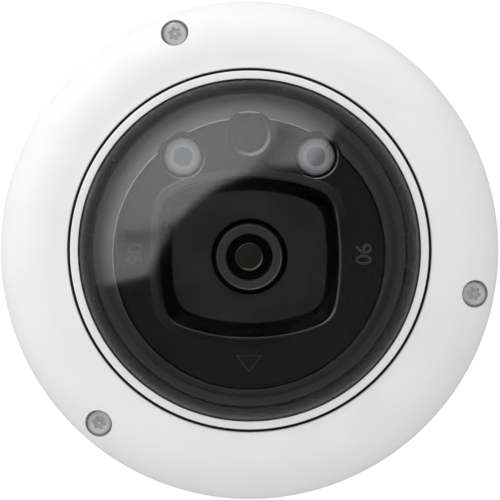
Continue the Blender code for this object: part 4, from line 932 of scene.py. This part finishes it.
def arrow_outline(corners, width, rise):
    """A raised line of one width round a triangle: a ridge with sloping sides."""
    outer = [Vector(corner) for corner in corners]
    sides = [(outer[(i + 1) % 3] - outer[(i + 2) % 3]).length for i in range(3)]
    centre = sum((point * side for point, side in zip(outer, sides)), Vector((0, 0))) / sum(sides)
    area = abs((outer[1] - outer[0]).cross(outer[2] - outer[0])) / 2
    inradius = 2 * area / sum(sides)
    low = FACE_H - 0.05
    levels = [(0.0, low), (0.35, FACE_H + rise), (0.65, FACE_H + rise), (1.0, low)]
    bm = bmesh.new()
    loops = []
    for share, h in levels:
        scale = 1 - share * width / inradius
        placed = [centre + (point - centre) * scale for point in outer]
        loops.append([bm.verts.new((x * MM, y * MM, h * MM)) for x, y in placed])
    for this, following in zip(loops, loops[1:] + loops[:1]):
        for i in range(3):
            j = (i + 1) % 3
            bm.faces.new((this[i], this[j], following[j], following[i]))
    return from_bmesh(bm, "arrow", MARK)


def make_marks():
    """The rotation marks: the degrees on either side, read from outside, and an arrow at the foot."""
    pieces = []
    for side in (-1, 1):
        curve = bpy.data.curves.new("mark", "FONT")
        curve.body = "90"
        curve.size = 5.2 * MM
        curve.extrude = 0.05 * MM
        curve.bevel_depth = 0.06 * MM
        curve.bevel_resolution = 2
        curve.align_x = "CENTER"
        curve.align_y = "CENTER"
        text = link("mark", curve)
        bpy.context.view_layer.update()
        mesh = bpy.data.meshes.new_from_object(text.evaluated_get(bpy.context.evaluated_depsgraph_get()))
        bpy.data.objects.remove(text, do_unlink=True)
        piece = shifted(spun(link("mark", mesh), -90 * side), side * 26.6, 0, FACE_H + 0.08)
        pieces.append(one_finish(piece, MARK))
    arrow = [(-3.3, -23.8), (3.1, -23.8), (-0.1, -27.9)]
    marks = joined("rotation_marks", pieces + [arrow_outline(arrow, 0.3, 0.16)])
    fit_ball(marks, "black_plastic")


def make_well():
    """The barrel-sided well round the lens: a satin lip and floor, a polished wall painted darker than the
    floor as painted shade, and a baffle.
    """
    floor_h, lip_low, lip_top = 14.4, FACE_H + 0.02, FACE_H + 0.5
    lip, mouth, floor = (23.5, 20.7), (21.0, 18.7), (18.4, 15.8)
    hole, baffle, under = 9.0, 8.05, floor_h - 1.2
    steps = 192

    def level(size, by, h):
        return (barrel(size[0] + by, size[1] + by, steps), h)

    def ring(radius, h):
        return ([polar(radius, 2 * math.pi * i / steps) for i in range(steps)], h)

    levels = [level(lip, 0, lip_low), level(lip, -0.06, lip_low + 0.06)]
    rise = lip_top + 0.1 - lip_low
    slope = [(0.4, 0.25), (0.8, 0.5), (1.2, 0.74), (1.45, 0.88), (1.65, 0.96), (1.8, 1.0)]
    levels += [level(lip, -by, lip_low + share * rise) for by, share in slope]
    levels += [level(mouth, 0.5, lip_top + 0.06), level(mouth, 0.4, lip_top - 0.08)]
    levels += [level(mouth, 0.22, lip_top - 0.2), level(mouth, 0.08, lip_top - 0.4)]
    wall_starts = len(levels)
    drop = lip_top - 0.6 - floor_h - 0.6
    for i in range(5):
        size = tuple(m + (f - m) * i / 4 for m, f in zip(mouth, floor))
        levels.append(level(size, 0, lip_top - 0.6 - drop * i / 4))
    wall_ends = len(levels)
    levels += [level(floor, -0.05, floor_h + 0.3), level(floor, -0.22, floor_h + 0.09)]
    levels.append(level(floor, -0.5, floor_h))
    inner_floor, round_hole = level(floor, -0.5, floor_h)[0], ring(hole, floor_h)[0]
    for share in (0.25, 0.5, 0.75, 0.95):
        levels.append(([Vector(p).lerp(Vector(q), share) for p, q in zip(inner_floor, round_hole)], floor_h))
    levels += [ring(hole, floor_h - 0.12)]
    floor_ends = len(levels)
    levels += [ring(hole, under + 0.4), ring(baffle, under + 0.4), ring(baffle, under)]
    levels += [level(floor, 0.96, under), level(mouth, 1.2, 17.4), level(mouth, 1.2, lip_low)]
    bm = bmesh.new()
    loops = [[bm.verts.new((x * MM, (y + LENS_Y) * MM, h * MM)) for x, y in outline] for outline, h in levels]
    for n, (this, following) in enumerate(zip(loops, loops[1:] + loops[:1])):
        # The faces picked here take the wall finish, whose much darker colour is painted shade.
        painted_shade_wall = wall_starts <= n < wall_ends or n >= floor_ends - 1
        for i in range(steps):
            j = (i + 1) % steps
            face = bm.faces.new((this[i], this[j], following[j], following[i]))
            face.material_index = int(painted_shade_wall)
    well = from_bmesh(bm, "lens_surround", WELL)
    well.data.materials.append(SHADED_WALL)
    polish(well, LIP, lambda centre, normal: centre.z > FACE_H and normal.z > 0.2)
    fit_ball(well, "black_plastic", "lens_well")


def make_lens():
    front, seat, glass_r = 17.9, 15.5, 5.4
    body = [
        (0, 1.0), (5.8, 1.0), (5.8, 8.8), (7.85, 8.8), (7.85, 16.4),
        (7.7, 16.5), (7.7, 16.75), (7.85, 16.85), (7.85, front - 0.3),
        (7.6, front - 0.05), (7.3, front - 0.05), (5.75, front - 0.3),
        (5.5, front - 0.5), (5.5, seat), (2.7, seat - 1), (2.7, seat - 2),
        (0, seat - 2),
    ]
    barrel_piece = shifted(turned("lens_body", body, LENS_METAL, 128, 0.06), y=LENS_Y)
    fit_ball(barrel_piece, "black_steel", "lens_barrel")
    brow = front - 0.05
    rim = [(7.38, brow), (7.64, brow - 0.02), (7.58, brow + 0.05), (7.44, brow + 0.05)]
    edge = shifted(turned("lens_bright_edge", rim, LENS_TRIM, 128), y=LENS_Y)
    fit_ball(edge, "black_steel")
    crown, foot = 1.0, seat + 0.15
    edge_h = foot + 0.5
    bulge = (glass_r**2 + crown**2) / (2 * crown)
    half = math.degrees(math.asin(glass_r / bulge))
    front_glass = arc(0, edge_h + crown - bulge, bulge, 90 - half, 90, 16)
    front_glass[0], front_glass[-1] = (glass_r, edge_h), (0, edge_h + crown)
    glass = turned("front_lens", [(0, foot), (glass_r, foot)] + front_glass, LENS, 96)
    pieces = [glass]
    for radius, rise in ((2.65, 0.1), (1.7, 0.16), (0.8, 0.2)):
        top = edge_h + crown + rise
        low = edge_h + crown - bulge + math.sqrt(bulge**2 - radius**2) - 0.05
        brim = radius - 0.1
        cap = [(0, low), (radius, low), (radius, top - 0.1), (brim, top - 0.04), (0, top)]
        pieces.append(turned("inner_lens", cap, INNER_LENS, 64, 0.05))
    ring_low, ring_top = edge_h + 0.5, edge_h + crown + 0.18
    holder = [(2.72, ring_low), (3.3, ring_low), (3.3, ring_top - 0.14), (3.15, ring_top)]
    pieces.append(turned("ring", holder + [(3.02, ring_top), (2.72, ring_top - 0.26)], EDGE, 64))
    glasses = shifted(joined("lens_glasses", pieces), y=LENS_Y)
    fit_ball(glasses, "lens_glass", "lens_glass")
    # The lock ring is painted nearly black, as painted shade where it shows in the gap round the lens.
    lock = shifted(turned("lock_ring", section(6.1, 8.6, 6.3, 8.3), GAP_SHADE_BRASS, 64, 0.2), y=LENS_Y)
    fit_ball(lock, "brass", "lens_lock_ring")


def make_windows():
    """Each infrared window: a frosted cap with a stepped face over a pale reflector cup and its emitter."""
    top, rim, inner = FACE_H - 0.62, 4.5, 3.85
    led_h, led_top = 12.7, 13.7
    cap = [
        (0, top - 0.5), (inner, top - 0.8), (inner, 15.4), (4.65, 15.4),
        (4.65, 16.3), (rim, 16.3), (rim, top - 0.34), (rim - 0.1, top - 0.14),
        (rim - 0.3, top - 0.02), (rim - 0.45, top), (3.5, top - 0.02),
        (3.2, top - 0.14), (2.5, top - 0.22), (2.2, top - 0.2),
        (1.9, top - 0.1), (0.9, top - 0.02), (0, top),
    ]
    cup_wall = [(3.7, 15.9), (3.7, led_h), (2.3, led_h), (2.3, 13.6), (3.3, 15.9)]
    for word, place in zip(("left", "right"), LED_PLACES):
        window = turned(f"infrared_window_{word}", cap, WINDOW, 96, 0.06)
        for finish, reach in ((WINDOW_RING, 3.3), (WINDOW_MIDDLE, 2.15)):
            polish(window, finish, lambda centre, normal, reach=reach: away_from(centre) < reach)
        polish(window, WINDOW_RIM, lambda centre, normal: away_from(centre) > 4.2)
        fit_ball(shifted(window, *place), "infrared_window", f"ir_window_{word}")
        emitter_body = prism("body", rectangle(3.0, 3.0), led_h, led_top, EMITTER, 0.15)
        lens_cap = arc(0, led_top - 0.6, 1.1, 0, 90, 8)
        lens_cap[-1] = (0, led_top + 0.5)
        dot = turned("dot", [(0, led_top - 0.6)] + lens_cap, EMITTER, 32)
        cup = turned("cup", cup_wall, CUP, 64)
        light = joined(f"infrared_emitter_{word}", [emitter_body, dot, cup])
        fit_ball(shifted(light, *place), "led_package", f"ir_led_{word}")


def make_swivel():
    outer, rim_r, inner, low, rim_low, top = 29.9, 34.9, 27.3, -5.0, 3.9, 5.3
    cup = [(0, low), (outer, low), (outer, rim_low), (rim_r, rim_low), (rim_r, top), (inner, top)]
    swivel = turned("swivel", cup + [(inner, -3.8), (0, -3.8)], BLACK_PART, 128, 0.25)
    combine(swivel, prism("flex_window", rectangle(14, 5, (0, -19)), -7, -2))
    fit_ball(swivel, "black_plastic", "swivel_cup", finish=BLACK_PART)


def make_tilt():
    ring = turned("tilt_carrier", section(30.3, 35.2, -3.5, 3.5), BLACK_PART, 128, 0.3)
    start = 31.8
    for side in (1, -1):
        boss = turned("boss", section(0, 3.6, 0, BALL_R - start), BLACK_PART, 48)
        combine(ring, lay_along(boss, (side, 0, 0), (side * start, 0, 0)), "UNION")
        bore = turned("bore", section(0, PIVOT_BORE_R, 0, 9), BLACK_PART, 32)
        combine(ring, lay_along(bore, (side, 0, 0), (side * 33.2, 0, 0)))
    fit(ring, "tilt_stage", "black_plastic", "tilt_ring", at=BALL, finish=BLACK_PART)
    for side, word in ((-1, "left"), (1, "right")):
        screw = pan_screw(f"tilt_pivot_screw_{word}", 3.0, 1.6, 1.6, 5.9, slot=True)
        one_finish(lay_along(screw, (side, 0, 0), (side * 39.4, 0, 0)), DARK_SCREW)
        fit(screw, "tilt_stage", "steel", f"tilt_screw_{word}", at=BALL)


# ---------------------------------------------------------------- yoke and turntable
def make_arms():
    foot_z, foot_top, arm_x, thick = 19.5, 20.9, 37.9, 1.4
    rise, half, top_r = PIVOT_Z - foot_z, 8.5, 4.2
    for side, word in ((-1, "left"), (1, "right")):
        neck = rise - 1.3 * top_r
        outline = [(-half, 0), (half, 0), (half, 0.62 * rise), (top_r, neck)]
        outline += arc(0, rise, top_r, 0, 180, 24)
        outline += [(-top_r, neck), (-half, 0.62 * rise)]
        ear = prism(f"yoke_{word}", outline, arm_x, arm_x + thick, BLACK_STEEL, 0.22)
        ear.data.transform(Matrix(((0, 0, side, 0), (side, 0, 0, 0), (0, 1, 0, 0), (0, 0, 0, 1))))
        shifted(ear, z=foot_z)
        foot_in, foot_out = sweep_radius(foot_top) + 0.3, arm_x + thick / 2
        footprint = rectangle(foot_out - foot_in, 16.9, (side * (foot_in + foot_out) / 2, 0))
        combine(ear, prism("foot", footprint, foot_z + 0.02, foot_top, BLACK_STEEL), "UNION")
        hole = turned("hole", section(0, PIVOT_BORE_R, 0, 6), BLACK_STEEL, 32)
        combine(ear, lay_along(hole, (side, 0, 0), (side * 35.9, 0, PIVOT_Z)))
        drill(ear, [(side * YOKE_SCREW_X, 0)], 1.2, 18, 22, 32)
        fit(ear, "pan_stage", "black_steel", f"yoke_arm_{word}", finish=BLACK_STEEL)
        screw = pan_screw(f"yoke_fixing_{word}", 1.6, 1.1, 0.9, 4.0, cross=True)
        shifted(one_finish(screw, DARK_SCREW), side * YOKE_SCREW_X, 0, 21.2)
        fit(screw, "pan_stage", "steel", f"yoke_screw_{word}")


def make_turntable():
    low, step, top, lip_r, table_r = 16.7, 17.8, 19.2, 40.2, 38.3
    inner = sweep_radius(top) + 0.3
    outline = [(inner, low), (lip_r, low), (lip_r, step), (table_r, step), (table_r, top), (inner, top)]
    table = turned("turntable", outline, BLACK_PART, 128, 0.2)
    drill(table, [(YOKE_SCREW_X, 0), (-YOKE_SCREW_X, 0)], 1.2, 15, 21, 32)
    fit(table, "pan_stage", "black_plastic", "pan_turntable", finish=BLACK_PART)
    tick = prism("pan_scale", rectangle(1.4, 0.3), 0, 0.06, IVORY)
    ring_of(tick, 72, 34.4, 0.0, top + 0.02, IVORY)
    fit(tick, "pan_stage", "ivory_plastic")


# ---------------------------------------------------------------- base and boards
CABLE = (0.0, 29.0)


def along_conduit(obj, start):
    """Lays a turned piece along the side entry, from start outwards."""
    return lay_along(obj, (0, -1, 0), (0, -start, CONDUIT_Z))


def make_base():
    base_r, wall_in, wall_out, wall_z, floor, mid_floor = 58.0, 49.1, 51.9, 20, 2.5, 1.25
    foot, wall = [(0, 0), (base_r, 0), (base_r, floor)], [(wall_out, floor), (wall_out, wall_z)]
    inside = [(wall_in, wall_z), (wall_in, floor), (0, floor)]
    base = turned("cast_base_housing", foot + wall + inside, CAST, 160, 0.3)
    screws = on_circle(COVER_SCREW_R, COVER_SCREWS)
    posts = on_circle(POST_R, POSTS)
    combine(base, pins("bosses", screws, 2.9, mid_floor, wall_z - 0.01, steps=48), "UNION")
    for angle in COVER_SCREWS:
        web = spun(prism("web", rectangle(4.6, 2.4, (52.8, 0)), mid_floor, wall_z - 1), angle)
        combine(base, web, "UNION")
    combine(base, pins("posts", posts, 2.8, mid_floor, 9.7, steps=48), "UNION")
    boss_start, boss_end = 50.5, 56.6
    boss = turned("conduit_boss", section(0, 8.4, 0, boss_end - boss_start), CAST, 64, 0.3)
    combine(base, along_conduit(boss, boss_start), "UNION")
    combine(base, along_conduit(turned("conduit_bore", section(0, 6, 0, 13.5), CAST, 64), 46.1))
    drill(base, screws, 1.8, 7.2, 21, 32)
    drill(base, posts, 1.5, 4.7, 11, 32)
    drill(base, on_circle(COVER_SCREW_R, CLAMP_SCREWS), 2.2, -1, 3.5, 48)
    drill(base, [CABLE], 6.5, -1, 3.5)
    drill(base, [CABLE], 8.4, -1, 1.1)
    fit(base, "base", "cast_base", "base_housing", finish=CAST)


def make_base_fittings():
    low, groove, top, lip_r, neck_r = 0.4, 1.0, 2.6, 8.3, 6.4
    under = [(0, 1), (2.3, 1), (5.4, low), (lip_r, low), (lip_r, groove), (neck_r, groove)]
    over = [(neck_r, top), (lip_r, top), (7.7, 3.8), (3.3, 3.8), (2.3, 2), (0, 2)]
    grommet = shifted(turned("cable_entry_grommet", under + over, RUBBER, 64, 0.2), *CABLE)
    fit(grommet, "base", "black_rubber", "cable_grommet")
    seal = turned("housing_seal", section(49.5, 51.5, 20.3, 22.3), RUBBER, 160, 0.5)
    fit(seal, "base", "black_rubber", "body_gasket")
    seat, flange_r, plug_low, plug_top = 56.7, 7.4, -7.6, 2.3
    washer = turned("plug_washer", section(6.1, flange_r, 0, 0.8), RUBBER, 64, 0.2)
    fit(along_conduit(washer, seat), "base", "black_rubber", "plug_seal")
    outline = [(0, plug_low), (5.7, plug_low), (5.7, 0), (flange_r, 0), (flange_r, plug_top), (0, plug_top)]
    plug = turned("side_entry_plug", outline, COAT, 96, 0.4)
    combine(plug, prism("coin_slot", rectangle(8, 1.6), 1.2, 4))
    fit(along_conduit(plug, seat + 0.9), "base", "white_paint", "conduit_plug", finish=COAT)


def make_boards():
    low, top = 10, 11.6
    hole = sweep_radius(top) + 0.3
    posts = on_circle(POST_R, POSTS)
    board = turned("main_circuit_board", section(hole, 46.6, low, top), BOARD, 128, 0.1)
    combine(board, prism("flat", rectangle(190, 46.6, (0, -61.3)), 9, 13))
    drill(board, posts, 1.5, 9, 13, 32)
    fit(board, "base", "board", "main_board", finish=BOARD)
    plate_low, plate_top = 14.6, 16.4
    outline = section(sweep_radius(plate_top) + 0.3, 41, plate_low, plate_top)
    plate = turned("pan_bearing_plate", outline, BLACK_STEEL, 128, 0.2)
    combine(plate, pins("lobes", posts, 3.2, plate_low + 0.01, plate_top - 0.01, steps=48), "UNION")
    drill(plate, posts, 1.5, 13, 18, 32)
    fit(plate, "base", "black_steel", "pan_base", finish=BLACK_STEEL)
    screw = pan_screw("chassis_fixings", 2.3, 1.4, 1.2, 14.4, cross=True)
    ring_of(screw, 3, POST_R, POSTS[0], 19.4, DARK_SCREW)
    fit(smooth(screw), "base", "steel", "chassis_screw_1", "chassis_screw_2", "chassis_screw_3")
    kinds = {
        "black_board_parts": (CHIP, 3, 46, 41.8, 1.1, 2.6),
        "ceramic_board_parts": (CERAMIC, 11, 64, 44.4, 0.7, 1.5),
    }
    for name, (material, seed, count, outer, small, large) in kinds.items():
        metre = 1 / MM
        block = prism(name, rectangle(metre, metre), 0.0, metre, material, 0.06 * metre)
        sizes = {"Inner Radius": 38.6, "Outer Radius": outer, "Smallest": small, "Largest": large}
        sizes = {label: size * MM for label, size in (sizes | {"Height": top}).items()}
        run_tree(block, PARTS, sizes | {"Count": count, "Seed": seed, "Finish": material})
        clear_of_flat(block)
        fit(smooth(block), "base", "black_chip")


def clear_of_flat(obj):
    """Takes away the parts that would stand beyond the board's straight edge or over its fittings."""
    bm = bmesh.new()
    bm.from_mesh(obj.data)
    left = set(bm.verts)
    gone = []
    posts = on_circle(POST_R, POSTS)
    fittings = [(-44.2, -3.6), (-41.4, 15.1), (0, 35)]
    while left:
        island = {left.pop()}
        front = list(island)
        while front:
            for edge in front.pop().link_edges:
                for vert in edge.verts:
                    if vert not in island:
                        island.add(vert)
                        front.append(vert)
        left -= island
        centre = sum((v.co for v in island), Vector()) / len(island) / MM
        near_post = min(away_from(centre, post) for post in posts) < 4.6
        near_fitting = min(away_from(centre, fitting) for fitting in fittings) < 8.0
        if centre.y < -36.3 or near_post or near_fitting:
            gone += island
    bmesh.ops.delete(bm, geom=gone, context="VERTS")
    bm.to_mesh(obj.data)
    bm.free()


# ---------------------------------------------------------------- pieces kept as they come
KEPT = {
    "processor_chip network_transformer reset_button": CHIP,
    "board_standoff_1 board_standoff_2 board_standoff_3": BRASS,
    "pan_clip_1 pan_clip_2 pan_clip_3": BLACK_STEEL,
    "capacitor reset_switch": CAN,
    "sensor_board ir_board": BOARD,
    "image_sensor": LENS,
    "board_connector": IVORY,
    "swivel_retainer": STEEL,
    "lens_holder": BLACK_PART,
}


def dress_kept():
    for names, material in KEPT.items():
        for name in names.split():
            one_finish(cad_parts[name], material)


# ---------------------------------------------------------------- room, light and camera
def make_room():
    bm = bmesh.new()
    bmesh.ops.create_grid(bm, x_segments=1, y_segments=1, size=1.6)
    floor = from_bmesh(bm, "floor", None, outward=False)
    shifted(floor, z=-0.2)
    f = Finish("pale_floor")
    f.solid(Base_Color=0.9, Roughness=0.8, Emission_Color=(1, 1, 1, 1), Emission_Strength=0.4)
    floor.data.materials.append(f.material)
    floor.visible_glossy = False


def panel(name, place, away, size, power, glossy=True):
    """A rectangular soft light at a place, its back turned to the direction away."""
    light = bpy.data.lights.new(name, "AREA")
    light.shape = "RECTANGLE"
    light.size, light.size_y = size
    light.energy = power
    obj = bpy.data.objects.new(name, light)
    bpy.context.scene.collection.objects.link(obj)
    obj.location = place
    obj.rotation_mode = "QUATERNION"
    obj.rotation_quaternion = Vector(away).to_track_quat("Z", "Y")
    obj.visible_glossy = glossy
    return obj


KEY_POWER = 25.0
SIDE_POWER = 4.1
TOP_POWER = 15.0
SIDEWAYS = (-0.559, 0.829, 0.0)


def make_light():
    world = bpy.data.worlds.new("studio")
    world.use_nodes = True
    sky = world.node_tree.nodes["Background"].inputs
    sky["Color"].default_value = (1, 1, 1, 1)
    sky["Strength"].default_value = 0.56
    world.cycles_visibility.glossy = False
    bpy.context.scene.world = world
    key = panel("key_panel", (-0.391, 0.58, -0.44), SIDEWAYS, (3.8, 2.24), KEY_POWER)
    key.data.spread = math.radians(165)
    key.visible_diffuse = False
    panel("side_fill", (-0.391, 0.58, 0.3), SIDEWAYS, (3.0, 0.76), SIDE_POWER, glossy=False)
    panel("top_fill", (-0.18, 0.21, 1.5), (-0.12, 0.14, 1.0), (2.4, 2.4), TOP_POWER, glossy=False)
    bpy.context.scene.view_settings.view_transform = "Standard"


def make_camera():
    data = bpy.data.cameras.new("camera")
    data.sensor_width = 36.0
    data.lens = 166.64
    data.clip_start = 0.01
    data.shift_x = 0.0012
    camera = bpy.data.objects.new("camera", data)
    camera.location = (0, 0, 0.603)
    bpy.context.scene.collection.objects.link(camera)
    bpy.context.scene.camera = camera


make_cover()
make_bubble()
make_trim()
make_clamp()
make_cover_screws()
make_band()
make_face()
make_marks()
make_well()
make_lens()
make_windows()
make_swivel()
make_tilt()
make_arms()
make_turntable()
make_base()
make_base_fittings()
make_boards()
dress_kept()
make_room()
make_light()
make_camera()
